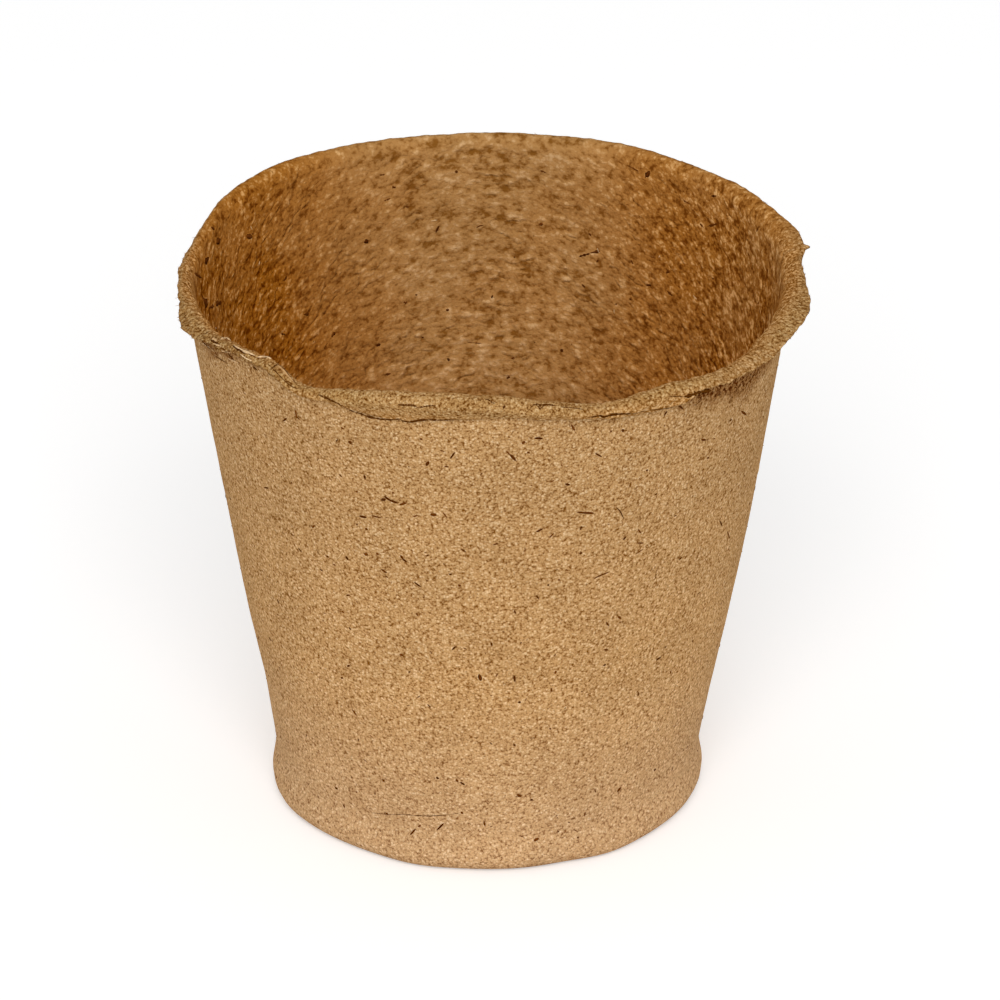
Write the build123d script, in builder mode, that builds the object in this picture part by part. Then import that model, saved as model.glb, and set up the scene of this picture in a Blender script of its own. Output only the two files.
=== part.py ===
from build123d import *

import math
import os

# A round peat pot: one thin cup of pressed peat and wood fibre, open at the top.
# Millimetres, +Z up. The origin is the middle of the flat underside, on the ground.
# Azimuths turn from +X towards +Y, and the side that faces -Y is the front.

# Driving sizes of the cup
rim_height = 100.6        # mean height of the crest of the lip
mouth_radius = 53.5       # outer radius that the wall reaches at the height of the rim
base_radius = 38.35       # outer radius of the foot band, at the heel
foot_radius = 37.7        # outer radius of the waist, where the foot band ends
foot_height = 7.5         # height of the foot band
heel_radius = 3.0         # rounding under the foot band
waist_blend = 1.4         # height, up and down, over which foot band and wall run together
belly = 0.25              # how far the wall swells outwards at half its height
wall_thickness = 1.7
floor_thickness = 2.0
corner_radius = 3.8       # rounding between wall and floor, inside

# Driving sizes of the out-turned lip
lip_thickness = 1.2       # the felt is pressed and torn thinner here
lip_radius = 1.5          # bend of the lip, at the middle of its thickness
lip_tail = 4.0            # longest straight stretch of lip past the bend
lip_root = 5.2            # depth below the rim at which the wall still runs straight
rim_rise = 2.2            # how far the crest wanders up or down, at the most
tip_share = 0.4           # how far the torn edge is rounded out, of the lip's thickness

# The lip all round, as it was torn off: the angle through which it is turned out
# (90 is level, 180 hangs straight down), its tail as a share of lip_tail, and the height
# of its crest as a share of rim_rise. It hangs close to the wall in front, stands wide
# open on the right, has a notch with a burr beside it at azimuths 0 to 12, and is short
# everywhere else.
lip_shares = (
    # azimuth, turn, tail share, rise share
    (0, 90, 0.28, -0.27),
    (5, 90, 0.24, -0.23),
    (9, 89, 0.42, -0.18),
    (12, 88, 0.88, -0.14),
    (18, 86, 0.72, -0.12),
    (30, 85, 0.46, -0.05),
    (45, 85, 0.24, -0.05),
    (60, 85, 0.36, 0.16),
    (75, 85, 0.32, 0.12),
    (90, 85, 0.22, 0.07),
    (105, 85, 0.24, 0.09),
    (120, 85, 0.34, 0.22),
    (132, 85, 0.50, 0.45),
    (145, 83, 0.24, 0.08),
    (160, 80, 0.16, -0.25),
    (180, 80, 0.16, -0.16),
    (195, 100, 0.30, -0.36),
    (210, 120, 0.22, -0.41),
    (224, 115, 0.12, 0.10),
    (232, 130, 0.14, -0.85),
    (244, 155, 0.50, -0.30),
    (257, 165, 0.68, 0.40),
    (268, 162, 0.58, 0.60),
    (280, 148, 0.38, -0.20),
    (294, 152, 0.38, -0.95),
    (308, 132, 0.62, -0.88),
    (325, 108, 0.90, -0.90),
    (340, 97, 0.86, -0.60),
    (352, 92, 0.78, -0.38),
)

# How finely the round stretches are stepped
bend_steps = 6
quarter_steps = 5
wall_steps = 4


def wall_radius(height):
    """Outer radius of the wall: a straight taper with a slight belly."""
    share = (height - foot_height) / (rim_height - foot_height)
    taper = foot_radius + (mouth_radius - foot_radius) * share
    return taper + 4 * belly * share * (1 - share)


wall_lean = math.degrees(math.atan((mouth_radius - foot_radius) / (rim_height - foot_height)))


def quarter_round(centre, radius, start, end):
    """Points (radius, height) on an arc about a centre, from one angle to the other."""
    points = []
    for step in range(quarter_steps + 1):
        angle = math.radians(start + (end - start) * step / quarter_steps)
        points.append((centre[0] + radius * math.cos(angle), centre[1] + radius * math.sin(angle)))
    return points


def waist(inset):
    """Foot band running into the wall, the corner cut by a parabola, upwards."""
    low = foot_height - waist_blend
    high = foot_height + waist_blend
    slope = (base_radius - foot_radius) / (foot_height - heel_radius)
    low_radius = foot_radius + slope * waist_blend
    high_radius = wall_radius(high)
    middle_radius = (low_radius + high_radius + 2 * foot_radius) / 4
    return [(low_radius - inset, low), (middle_radius - inset, foot_height), (high_radius - inset, high)]


def straight_wall(inset):
    """Wall from above the waist to the root of the lip, upwards."""
    low = foot_height + waist_blend
    high = rim_height - lip_root
    points = []
    for step in range(1, wall_steps + 1):
        height = low + (high - low) * step / wall_steps
        points.append((wall_radius(height) - inset, height))
    return points


def lip_sides(turn, tail, crest):
    """Underside and top of the lip in one radial plane, from root to torn edge.

    The middle line is an arc that carries on from the leaning wall until it has turned
    through the given angle, and then a straight tail. Half the thickness is laid off
    on either side of it.
    """
    level = math.radians(min(turn, 90))
    lean = math.radians(wall_lean)
    over = math.radians(turn)
    lift = lip_radius * (math.sin(level) - math.sin(lean)) + lip_thickness / 2 * math.sin(level)
    start_height = crest - lift - tail * max(math.cos(over), 0)
    start_radius = wall_radius(start_height) - wall_thickness / 2
    under, top = [], []
    for step in range(bend_steps + 1):
        share = step / bend_steps
        angle = lean + (over - lean) * share
        half = (wall_thickness * (1 - share) + lip_thickness * share) / 2
        radius = start_radius + lip_radius * (math.cos(lean) - math.cos(angle))
        height = start_height + lip_radius * (math.sin(angle) - math.sin(lean))
        under.append((radius + half * math.cos(angle), height - half * math.sin(angle)))
        top.append((radius - half * math.cos(angle), height + half * math.sin(angle)))
    along = (math.sin(over), math.cos(over))
    under.append((under[-1][0] + tail * along[0], under[-1][1] + tail * along[1]))
    top.append((top[-1][0] + tail * along[0], top[-1][1] + tail * along[1]))
    bulge = lip_thickness * tip_share
    tip = (
        (under[-1][0] + top[-1][0]) / 2 + bulge * along[0],
        (under[-1][1] + top[-1][1]) / 2 + bulge * along[1],
    )
    return under, tip, top


def outside_wall():
    """Outside from under the heel up to the root of the lip, as (radius, height)."""
    heel_centre = (base_radius - heel_radius, heel_radius)
    return quarter_round(heel_centre, heel_radius, -90, 0) + waist(0) + straight_wall(0)


def inside_wall():
    """Inside from the edge of the floor up to the root of the lip, as (radius, height)."""
    corner_height = floor_thickness + corner_radius
    slope = (base_radius - foot_radius) / (foot_height - heel_radius)
    inner_radius = base_radius - slope * (corner_height - heel_radius) - wall_thickness
    corner_centre = (inner_radius - corner_radius, corner_height)
    corner = quarter_round(corner_centre, corner_radius, -90, 0)
    return corner + waist(wall_thickness) + straight_wall(wall_thickness)


def level_ring(radius, height):
    """A circle about the pot's axis."""
    with BuildLine(Plane.XY.offset(height)) as ring:
        CenterArc((0, 0), radius, 0, 360)
    return ring.wire()


def lip_rings():
    """Closed curves round the lip, one for each point of its section: up its underside,
    round the torn edge and back over its top."""
    sections = []
    for azimuth, turn, tail_share, rise_share in lip_shares:
        crest = rim_height + rise_share * rim_rise
        under, tip, top = lip_sides(turn, tail_share * lip_tail, crest)
        angle = math.radians(azimuth)
        section = under + [tip] + top[::-1]
        sections.append([(r * math.cos(angle), r * math.sin(angle), z) for r, z in section])
    rings = []
    for points in zip(*sections):
        with BuildLine() as ring:
            Spline(*points, periodic=True)
        rings.append(ring.wire())
    return rings


os.makedirs("parts", exist_ok=True)

# The pot is one piece. Its skin is carried through rings: circles up the outside, uneven
# rings round the torn lip, and circles down the inside. The flat underside closes it at one
# end and the flat floor at the other.
outside_rings = [level_ring(radius, height) for radius, height in outside_wall()]
inside_rings = [level_ring(radius, height) for radius, height in inside_wall()]
pot_skin = Solid.make_loft(outside_rings + lip_rings() + inside_rings[::-1], ruled=True)
with BuildPart() as pot:
    add(pot_skin)
pot.part.label = "pot"
export_step(pot.part, "parts/pot.step")

size = pot.part.bounding_box().size
print(f"pot: {size.X:.1f} x {size.Y:.1f} x {size.Z:.1f} mm, volume {pot.part.volume / 1000:.1f} ml")
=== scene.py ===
# %% [markdown]
# # A round peat pot
# A peat pot is drawn from a wet pulp of peat and wood fibre onto a mould, pressed and dried.
# It is one thin shell: a tapered wall, a short upright foot, a floor, and a lip that was
# turned outwards and torn off, so that no two stretches of it are alike. The felt is matt,
# finely grained outside, where it lay against the mould, and lumpy inside.
#
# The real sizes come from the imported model, which is loaded first. Everything made here is
# laid over it, in the same place, and then the plain model is hidden.

import itertools
import math

import bpy
import numpy as np
from mathutils.bvhtree import BVHTree
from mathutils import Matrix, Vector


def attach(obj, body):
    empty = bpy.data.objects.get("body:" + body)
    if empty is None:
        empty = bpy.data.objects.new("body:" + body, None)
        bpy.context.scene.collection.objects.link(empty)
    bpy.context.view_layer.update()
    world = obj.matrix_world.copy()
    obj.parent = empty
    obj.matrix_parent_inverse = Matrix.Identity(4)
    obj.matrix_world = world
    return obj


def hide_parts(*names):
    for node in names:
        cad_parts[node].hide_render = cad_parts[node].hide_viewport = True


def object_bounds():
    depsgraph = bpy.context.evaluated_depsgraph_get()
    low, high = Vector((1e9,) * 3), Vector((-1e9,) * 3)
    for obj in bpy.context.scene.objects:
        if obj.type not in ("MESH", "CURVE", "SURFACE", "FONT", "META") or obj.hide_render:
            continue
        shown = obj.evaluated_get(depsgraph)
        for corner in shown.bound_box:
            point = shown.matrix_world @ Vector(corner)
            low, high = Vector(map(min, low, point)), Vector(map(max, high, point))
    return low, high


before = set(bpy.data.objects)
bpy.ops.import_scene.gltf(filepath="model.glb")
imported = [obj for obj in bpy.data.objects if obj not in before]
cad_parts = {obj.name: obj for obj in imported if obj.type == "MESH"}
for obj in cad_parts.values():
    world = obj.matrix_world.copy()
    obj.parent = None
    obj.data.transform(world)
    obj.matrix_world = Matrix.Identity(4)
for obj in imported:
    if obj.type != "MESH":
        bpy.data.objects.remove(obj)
cad_box = [list(corner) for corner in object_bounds()]
print("pieces of the plain model:", *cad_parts)
print("its lowest and highest corner in metres:", cad_box)

# %% [markdown]
# ## Sizes
# A pot of this kind is sold by the width of its lip and by its height. All sizes here are in
# millimetres, because the felt's grain, its fibres and its torn edge are easier to think of
# in that unit, and one scale value turns them into metres when a mesh is made.

# %% Sizes of the cup
MM = 0.001                # one millimetre in the scene's unit

rim_height = 100.6        # mean height of the crest of the lip
mouth_radius = 53.5       # outer radius that the wall reaches at the height of the rim
base_radius = 38.35       # outer radius of the foot band, at the heel
foot_radius = 37.7        # outer radius of the waist, where the foot band ends
foot_height = 7.5
heel_radius = 3.0
waist_blend = 1.4         # height over which foot band and wall run together
belly = 0.25              # how far the wall swells at half its height
wall_thickness = 1.7
floor_thickness = 2.0
corner_radius = 3.8       # rounding between wall and floor, inside
lip_thickness = 1.2       # the felt where the lip starts to run straight
lip_gap = 0.04            # between the wall and a lip that is pressed against it
lip_root = 6.5            # depth below the rim at which the wall still runs straight

low_corner, high_corner = np.array(cad_box) / MM
print(f"the lip reaches {high_corner[2]:.1f} mm up and {high_corner[0] - low_corner[0]:.1f} mm across")

# %% [markdown]
# ## Where the photograph was taken from
# The pot was photographed from a little above, at 27 degrees, with a long lens: the far and the
# near side of the rim are almost equally wide. Distance and focal length were worked out from
# the pot's outline. With them, any place in the photograph becomes a line of sight, and where
# that line meets the pot is the place that was seen. Cracks and splinters are put in that way.

# %% Camera and lines of sight
camera_elevation = math.radians(27.0)
camera_distance = 1925.0  # millimetres, from the point that it looks at
aim = np.array([2.07, 0.0, 54.35])   # that point
sensor_width = 36.0       # millimetres, as the focal length is
focal_length = 393.07
image_side = 1000         # the photograph is this many steps wide and high

camera_ahead = np.array([0.0, math.cos(camera_elevation), -math.sin(camera_elevation)])
camera_up = np.array([0.0, math.sin(camera_elevation), math.cos(camera_elevation)])
camera_place = aim - camera_distance * camera_ahead


def line_of_sight(places):
    """Directions from the camera through places (..., 2) of the photograph: steps from its
    left and from its top."""
    step = sensor_width / focal_length / image_side
    aside = (places[..., :1] - image_side / 2) * step
    below = (places[..., 1:] - image_side / 2) * step
    direction = camera_ahead + aside * np.array([1.0, 0.0, 0.0]) - below * camera_up
    return direction / np.linalg.norm(direction, axis=-1, keepdims=True)


print("the camera stands at", np.round(camera_place), "mm")

# %% [markdown]
# ## Noise for the felt
# Pulp dries unevenly, so no surface of the pot is smooth. A sculptor would push it about by
# hand; here a smooth random field in space does it, because the same field can then be asked
# for its height at any point, also where a loose fibre has to lie on the surface.

# %% Smooth random fields in space
shared_directions = 256   # the corners of all cubes share this many random directions
noise_gain = 1.6          # brings the noise to about -1 to 1


def smooth_noise(points, size, seed):
    """Noise of about -1 to 1 at an array of points (..., 3), in bumps of the given size.

    Space is cut into cubes of that size and each corner gets a random direction. At a point,
    the products of the corners' directions with the way from corner to point are blended
    with the weights 6t^5 - 15t^4 + 10t^3 along each axis.
    """
    draw = np.random.default_rng(seed)
    shuffle = draw.permutation(shared_directions)
    directions = draw.normal(size=(shared_directions, 3))
    directions /= np.linalg.norm(directions, axis=1, keepdims=True)
    place = np.asarray(points, float) / size
    corner = np.floor(place).astype(int)
    inside = place - corner
    weight = inside**3 * (inside * (inside * 6 - 15) + 10)
    total = np.zeros(place.shape[:-1])
    for step in itertools.product((0, 1), repeat=3):
        i, j, k = np.moveaxis(corner + step, -1, 0)
        number = shuffle[i % shared_directions]
        number = shuffle[(number + j) % shared_directions]
        direction = directions[shuffle[(number + k) % shared_directions]]
        product = ((inside - step) * direction).sum(-1)
        total += product * np.where(step, weight, 1 - weight).prod(-1)
    return total * noise_gain


def layered_noise(points, size, seed, layers):
    """Sum of smooth noises, each of half the size and half the height of the one before."""
    total = np.zeros(np.asarray(points).shape[:-1])
    for layer in range(layers):
        total += smooth_noise(points, size / 2**layer, seed + layer) / 2**layer
    return total


def step_up(low, high, value):
    """0 below low, 1 above high, and 3t^2 - 2t^3 between them."""
    share = np.clip((value - low) / (high - low), 0, 1)
    return share * share * (3 - 2 * share)


sample = smooth_noise(np.random.default_rng(1).uniform(-50, 50, (4000, 3)), 3.0, 5)
print(f"noise runs from {sample.min():.2f} to {sample.max():.2f}")

# %% [markdown]
# ## The section of the wall
# Seen in a plane through its axis, the pot is two lines a wall's thickness apart. The outside
# rises from a rounded heel over an upright foot band, turns at the waist and leans outwards in
# a straight taper. The radius is written as a function of height, so that the lip, the relief
# and the fibres can all ask for it.

# %% Radius of the outside
def outer_radius(height):
    """Radius of the outside: the larger of foot band and tapered wall, with the corner
    between them rounded over the height of the waist."""
    share = (height - foot_height) / (rim_height - foot_height)
    wall = foot_radius + (mouth_radius - foot_radius) * share + 4 * belly * share * (1 - share)
    slope = (base_radius - foot_radius) / (foot_height - heel_radius)
    band = foot_radius + slope * (foot_height - height)
    rounding = (mouth_radius - foot_radius) / (rim_height - foot_height) * waist_blend
    overlap = np.maximum(rounding - np.abs(wall - band), 0)
    return np.maximum(wall, band) + overlap**2 / (4 * rounding)


lean = math.atan((mouth_radius - foot_radius) / (rim_height - foot_height))
print(f"the wall leans out by {math.degrees(lean):.1f} degrees")

# %% [markdown]
# The pot was taken wet off its mould, so it isn't quite round. A few broad bulges and dents,
# read off the outline in the photograph, push the whole wall in or out.

# %% Broad bulges of the wall
bulges = np.array([
    # azimuth, height, half width in degrees, half height, how far out
    (180, 22, 40, 10, -0.55),
    (0, 14, 34, 13, -0.50),
    (0, 60, 48, 26, 0.38),
    (204, 1, 17, 7, 0.70),
    (250, 0, 9, 5, 0.50),
    (291, 0, 7, 5, -0.35),
    (305, 0, 9, 5, 0.50),
])


def bulge(azimuth, height):
    """How far the wall is pushed out: a sum of bell curves in azimuth and height."""
    azimuth, height = np.broadcast_arrays(azimuth, height)
    away = (azimuth[..., None] - bulges[:, 0] + 180) % 360 - 180
    above = height[..., None] - bulges[:, 1]
    fall = (away / bulges[:, 2]) ** 2 + (above / bulges[:, 3]) ** 2
    return (bulges[:, 4] * np.exp(-fall)).sum(-1)


def wall_at(azimuth, height):
    """Radius of the outside with its bulges."""
    return outer_radius(height) + bulge(azimuth, height)


print(f"the right side stands {bulge(0.0, 60.0):.2f} mm out at mid height")

# %% [markdown]
# ## The torn lip
# While the felt was wet its edge was bent outwards and the rest torn away. In front the lip
# hangs down against the wall, on the right it stands wide open, behind it is a short flange,
# and beside the notch on the right a burr sticks out. A table holds what was read off the
# photograph at places round the rim, and a smooth closed curve runs through each column.
#
# The turn is the angle through which the felt is bent: at 90 degrees it lies level, and at 180
# it hangs straight down. The tail is the straight stretch past the bend, the crest the greatest
# height, and the edge how thick the felt is where it tore. Fray runs from 0 to 1.

# %% Stations round the lip
lip_stations = np.array([
    # azimuth and turn in degrees; tail, crest, radius of the bend and edge in mm; fray
    (1, 84, 0.1, 99.8, 2.8, 0.50, 0.3),
    (4.5, 83, 0.3, 100.1, 2.8, 0.50, 0.3),
    (7, 82, 0.9, 100.8, 2.8, 0.50, 0.3),
    (10, 80, 1.2, 101.1, 2.8, 0.50, 0.3),
    (14, 77, 1.1, 101.2, 2.8, 0.50, 0.3),
    (18, 74, 0.9, 101.2, 2.8, 0.50, 0.15),
    (23, 68, 0.7, 101.1, 2.8, 0.50, 0.15),
    (29, 62, 0.6, 101.2, 2.8, 0.50, 0.15),
    (36, 58, 0.6, 101.3, 2.8, 0.50, 0.15),
    (45, 56, 0.4, 101.0, 2.8, 0.50, 0.15),
    (53, 56, 0.5, 101.1, 2.8, 0.50, 0.15),
    (64, 57, 0.6, 101.2, 2.8, 0.50, 0.15),
    (75, 57, 0.6, 101.0, 2.8, 0.50, 0.15),
    (90, 55, 0.4, 101.0, 2.8, 0.50, 0.15),
    (105, 55, 0.4, 100.9, 2.8, 0.50, 0.15),
    (120, 57, 0.6, 101.3, 2.8, 0.50, 0.15),
    (132, 59, 0.8, 101.5, 2.8, 0.50, 0.15),
    (141, 57, 0.6, 101.4, 2.8, 0.50, 0.15),
    (150, 54, 0.3, 101.1, 2.8, 0.50, 0.15),
    (158, 50, 0.1, 100.0, 2.8, 0.50, 0.15),
    (168, 50, 0.1, 99.2, 2.8, 0.50, 0.25),
    (176, 56, 0.2, 99.6, 2.8, 0.50, 0.5),
    (184, 70, 0.2, 99.6, 2.6, 0.50, 0.5),
    (190, 88, 0.3, 99.5, 2.1, 0.50, 0.6),
    (195, 100, 1.3, 99.3, 1.7, 0.45, 0.7),
    (199, 106, 2.4, 99.0, 1.4, 0.40, 0.9),
    (203, 106, 2.0, 98.8, 1.3, 0.40, 1),
    (208, 106, 1.2, 98.9, 1.2, 0.40, 1),
    (213, 116, 0.7, 99.6, 1.0, 0.35, 1),
    (218, 140, 0.4, 99.9, 0.8, 0.35, 1),
    (224, 160, 0.1, 100.2, 0.7, 0.30, 0.9),
    (228, 174, 0.1, 99.4, 0.6, 0.30, 0.7),
    (231, 182, 0.1, 98.0, 0.6, 0.30, 0.5),
    (236, 190, 0.1, 98.0, 0.65, 0.30, 0.4),
    (244, 200, 1.7, 99.6, 0.8, 0.30, 0.4),
    (252, 202, 3.7, 100.8, 0.95, 0.30, 0.4),
    (259, 203, 3.6, 101.4, 1.0, 0.30, 0.4),
    (266, 205, 2.7, 101.4, 1.0, 0.20, 0.3),
    (274, 207, 1.9, 100.7, 0.95, 0.15, 0.3),
    (284, 207, 1.0, 99.0, 0.9, 0.20, 0.3),
    (294, 201, 0.7, 97.6, 0.9, 0.30, 0.4),
    (301, 193, 1.6, 98.0, 0.95, 0.35, 0.4),
    (306, 180, 2.2, 98.5, 1.05, 0.40, 0.4),
    (309, 148, 1.4, 98.2, 1.3, 0.40, 0.5),
    (313, 120, 1.2, 97.8, 1.6, 0.45, 0.5),
    (320, 106, 1.5, 97.0, 1.8, 0.50, 0.5),
    (328, 100, 1.9, 97.0, 2.0, 0.50, 0.4),
    (336, 98, 2.2, 98.1, 2.2, 0.50, 0.4),
    (343, 97, 2.3, 98.6, 2.5, 0.50, 0.4),
    (347, 96, 2.1, 98.9, 2.6, 0.50, 0.4),
    (350, 94, 1.7, 99.2, 2.8, 0.50, 0.3),
    (355, 88, 0.6, 99.6, 2.8, 0.50, 0.3),
])
crest_column, fray_column = 3, 6


def round_the_rim(column, azimuth):
    """A smooth closed curve through one column of the stations, at azimuths in degrees.

    Between two stations it is the cubic that has their values and, at each, the slope from
    the station before to the station after.
    """
    stations = lip_stations[:, [0, column]]
    wrapped = np.concatenate([stations[-2:] - (360, 0), stations, stations[:3] + (360, 0)])
    place, value = wrapped.T
    slope = np.zeros(len(place))
    slope[1:-1] = (value[2:] - value[:-2]) / (place[2:] - place[:-2])
    at = np.mod(azimuth, 360)
    i = np.searchsorted(place, at, side="right") - 1
    gap = place[i + 1] - place[i]
    t = (at - place[i]) / gap
    start = (1 + 2 * t) * (1 - t) ** 2 * value[i] + t * (1 - t) ** 2 * gap * slope[i]
    return start + t**2 * (3 - 2 * t) * value[i + 1] - t**2 * (1 - t) * gap * slope[i + 1]


crests = lip_stations[:, crest_column]
print(f"the crest runs from {crests.min():.1f} to {crests.max():.1f} mm")

# %% [markdown]
# The table gives the lip's broad course. What makes it look torn is finer: the edge frays in
# steps of a few millimetres and of less than one, and the crest wavers a little. The burr is a
# single narrow bump on the length of the tail.

# %% Fine course of the torn edge
burr_azimuth, burr_width, burr_length = 7.6, 0.5, 1.1
fray_reach = 0.9          # how far the most frayed stretch wanders in and out
crest_waver = 0.10        # how far the crest wavers up and down
coarse_fray = 5.0         # length of the larger steps in which it frays
fine_fray = 1.6           # and of the small ones
shortest_tail = 0.1


def on_rim_circle(azimuth):
    """Points on a level circle the size of the rim, where noise is read for the rim."""
    angle = np.radians(azimuth)
    return np.stack([mouth_radius * np.cos(angle), mouth_radius * np.sin(angle), 0 * angle], -1)


def bump_at(azimuth, middle, width):
    """1 at the middle, falling off on both sides as a bell curve of the given width."""
    away = (azimuth - middle + 180) % 360 - 180
    return np.exp(-(away / width) ** 2)


def lip_course(azimuth):
    """Turn in radians, and tail, crest, bend and edge of the lip in millimetres."""
    ring = on_rim_circle(azimuth)
    turn, tail, crest, bend, edge, fray = (round_the_rim(column, azimuth) for column in range(1, 7))
    tail = tail + fray_reach * fray * layered_noise(ring, coarse_fray, 11, 4)
    tail = tail + burr_length * bump_at(azimuth, burr_azimuth, burr_width)
    crest = crest + crest_waver * (1 + 2 * fray) * layered_noise(ring, coarse_fray, 31, 3)
    crest = crest + 3 * crest_waver * fray * layered_noise(ring, fine_fray, 35, 2)
    return np.radians(turn), np.maximum(tail, shortest_tail), crest, bend, edge


azimuths = np.linspace(0, 360, 720, endpoint=False)
print(f"the tail of the lip is {lip_course(azimuths)[1].mean():.1f} mm long on average")

# %% [markdown]
# In a plane through the axis, the middle line of the lip carries on from the leaning wall,
# bends through its turn on an arc and ends in a straight tail. Its two sides lie half a
# thickness off, and the torn edge joins them in a ragged half round. Where the tail would run
# into the wall it is pushed out again, so that it lies pressed against the wall.

# %% Section of the lip
def lip_section(azimuth, bend_rows, tail_rows, edge_rows):
    """Radius and height of the lip, (rows, azimuths), from the root up the underside, round
    the torn edge and back down the top side to the root."""
    turn, tail, crest, bend, edge = lip_course(azimuth)
    level = np.minimum(turn, math.pi / 2)
    lift = bend * (np.sin(level) - math.sin(lean)) + lip_thickness / 2 * np.sin(level)
    start_height = crest - lift - tail * np.maximum(np.cos(turn), 0)
    start_radius = wall_at(azimuth, start_height) - wall_thickness / 2
    share = np.linspace(0, 1, bend_rows + 1)[:, None]
    angle = lean + (turn - lean) * share
    middle_r = start_radius + bend * (math.cos(lean) - np.cos(angle))
    middle_z = start_height + bend * (np.sin(angle) - math.sin(lean))
    run = np.linspace(0, 1, tail_rows + 1)[1:, None]
    middle_r = np.concatenate([middle_r, middle_r[-1] + run * tail * np.sin(turn)])
    middle_z = np.concatenate([middle_z, middle_z[-1] + run * tail * np.cos(turn)])
    angle = np.concatenate([angle, np.repeat(turn[None], tail_rows, 0)])
    bent = wall_thickness * (1 - share) + lip_thickness * share + 0 * edge
    half = np.concatenate([bent, lip_thickness * (1 - run) + edge * run]) / 2
    under_r, under_z = middle_r + half * np.cos(angle), middle_z - half * np.sin(angle)
    top_r, top_z = middle_r - half * np.cos(angle), middle_z + half * np.sin(angle)
    hanging = angle > math.pi / 2
    pushed = np.where(hanging, np.maximum(wall_at(azimuth, under_z) + lip_gap - under_r, 0), 0)
    under_r, top_r, middle_r = under_r + pushed, top_r + pushed, middle_r + pushed
    around = np.linspace(0, math.pi, edge_rows + 2)[1:-1, None]
    out, across = edge / 2 * np.sin(around), edge / 2 * np.cos(around)
    edge_r = middle_r[-1] + out * np.sin(turn) + across * np.cos(turn)
    edge_z = middle_z[-1] + out * np.cos(turn) - across * np.sin(turn)
    return np.concatenate([under_r, edge_r, top_r[::-1]]), np.concatenate([under_z, edge_z, top_z[::-1]])


def torn_edge(azimuth):
    """Radius and height of the outermost line of the torn edge, from a coarse section."""
    radius, height = lip_section(azimuth, bend_rows=4, tail_rows=3, edge_rows=1)
    outermost = len(radius) // 2
    return radius[outermost], height[outermost]


edge_r, edge_z = torn_edge(azimuths)
print(f"the torn edge lies {edge_z.min():.1f} to {edge_z.max():.1f} mm high, {edge_r.max():.1f} mm out")

# %% [markdown]
# ## The skin of the pot
# One closed surface is wrapped round the whole pot: out along the underside, up the outside,
# round the lip, down the inside and back to the middle of the floor. It is a grid of rows and
# columns. The walls need a point about every millimetre, the torn lip one every third of a
# millimetre, and the middles of floor and underside very few, so the number of columns changes
# from row to row and a strip of triangles joins two rows that differ.

# %% Level rows, and rows that lead to the lip
pole_columns, wall_columns, lip_columns = 112, 336, 1008
seam_azimuth = 90         # the grid starts behind, on the side away from the camera


def column_azimuths(columns):
    """Azimuths of the columns of a row, in degrees."""
    return seam_azimuth + 360 * np.arange(columns) / columns


def level_rows(radii, heights, columns, zone, inset=None):
    """Level rows as a list of (radius, height, zone). With an inset they follow the bulges of
    the wall, at that distance in from its outside, and the radii aren't needed."""
    if inset is None:
        return [(np.full(columns, r), np.full(columns, z), zone) for r, z in zip(radii, heights)]
    azimuth = column_azimuths(columns)
    return [(wall_at(azimuth, z) - inset, np.full(columns, z), zone) for z in heights]


def wall_to_lip(start, end, azimuth, inset, zone, steps):
    """Rows between a level row of the wall and the first or last row of the lip."""
    heights = [start * (1 - s) + end * s for s in np.arange(1, steps) / steps]
    return [(wall_at(azimuth, z) - inset, z, zone) for z in heights]


print(f"two columns of the lip lie {2 * math.pi * mouth_radius / lip_columns:.2f} mm apart")

# %% [markdown]
# From the middle of the underside the rows lead round the heel, over the foot band, up the
# wall and round the lip, and on the inside down again to the middle of the floor. Each row
# carries a zone, a number that grows along that way, so that every later step can tell the
# side that lay on the mould from the side that dried free.

# %% Rows of the skin in order
pole_radius = 2           # of the smallest row on the underside and on the floor
underside_rows, floor_rows = 8, 10
round_rows = 6            # of the heel, and of the corner between wall and floor
foot_rows, outer_rows, inner_rows = 8, 74, 66
underside_margin, floor_margin = 4, 2     # between the largest flat row and the rounding
lowest_foot_row, highest_foot_row = heel_radius + 0.9, foot_height + 2
lowest_wall_row = foot_height + 3
outside_zone, inside_zone = 0, 2


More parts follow.
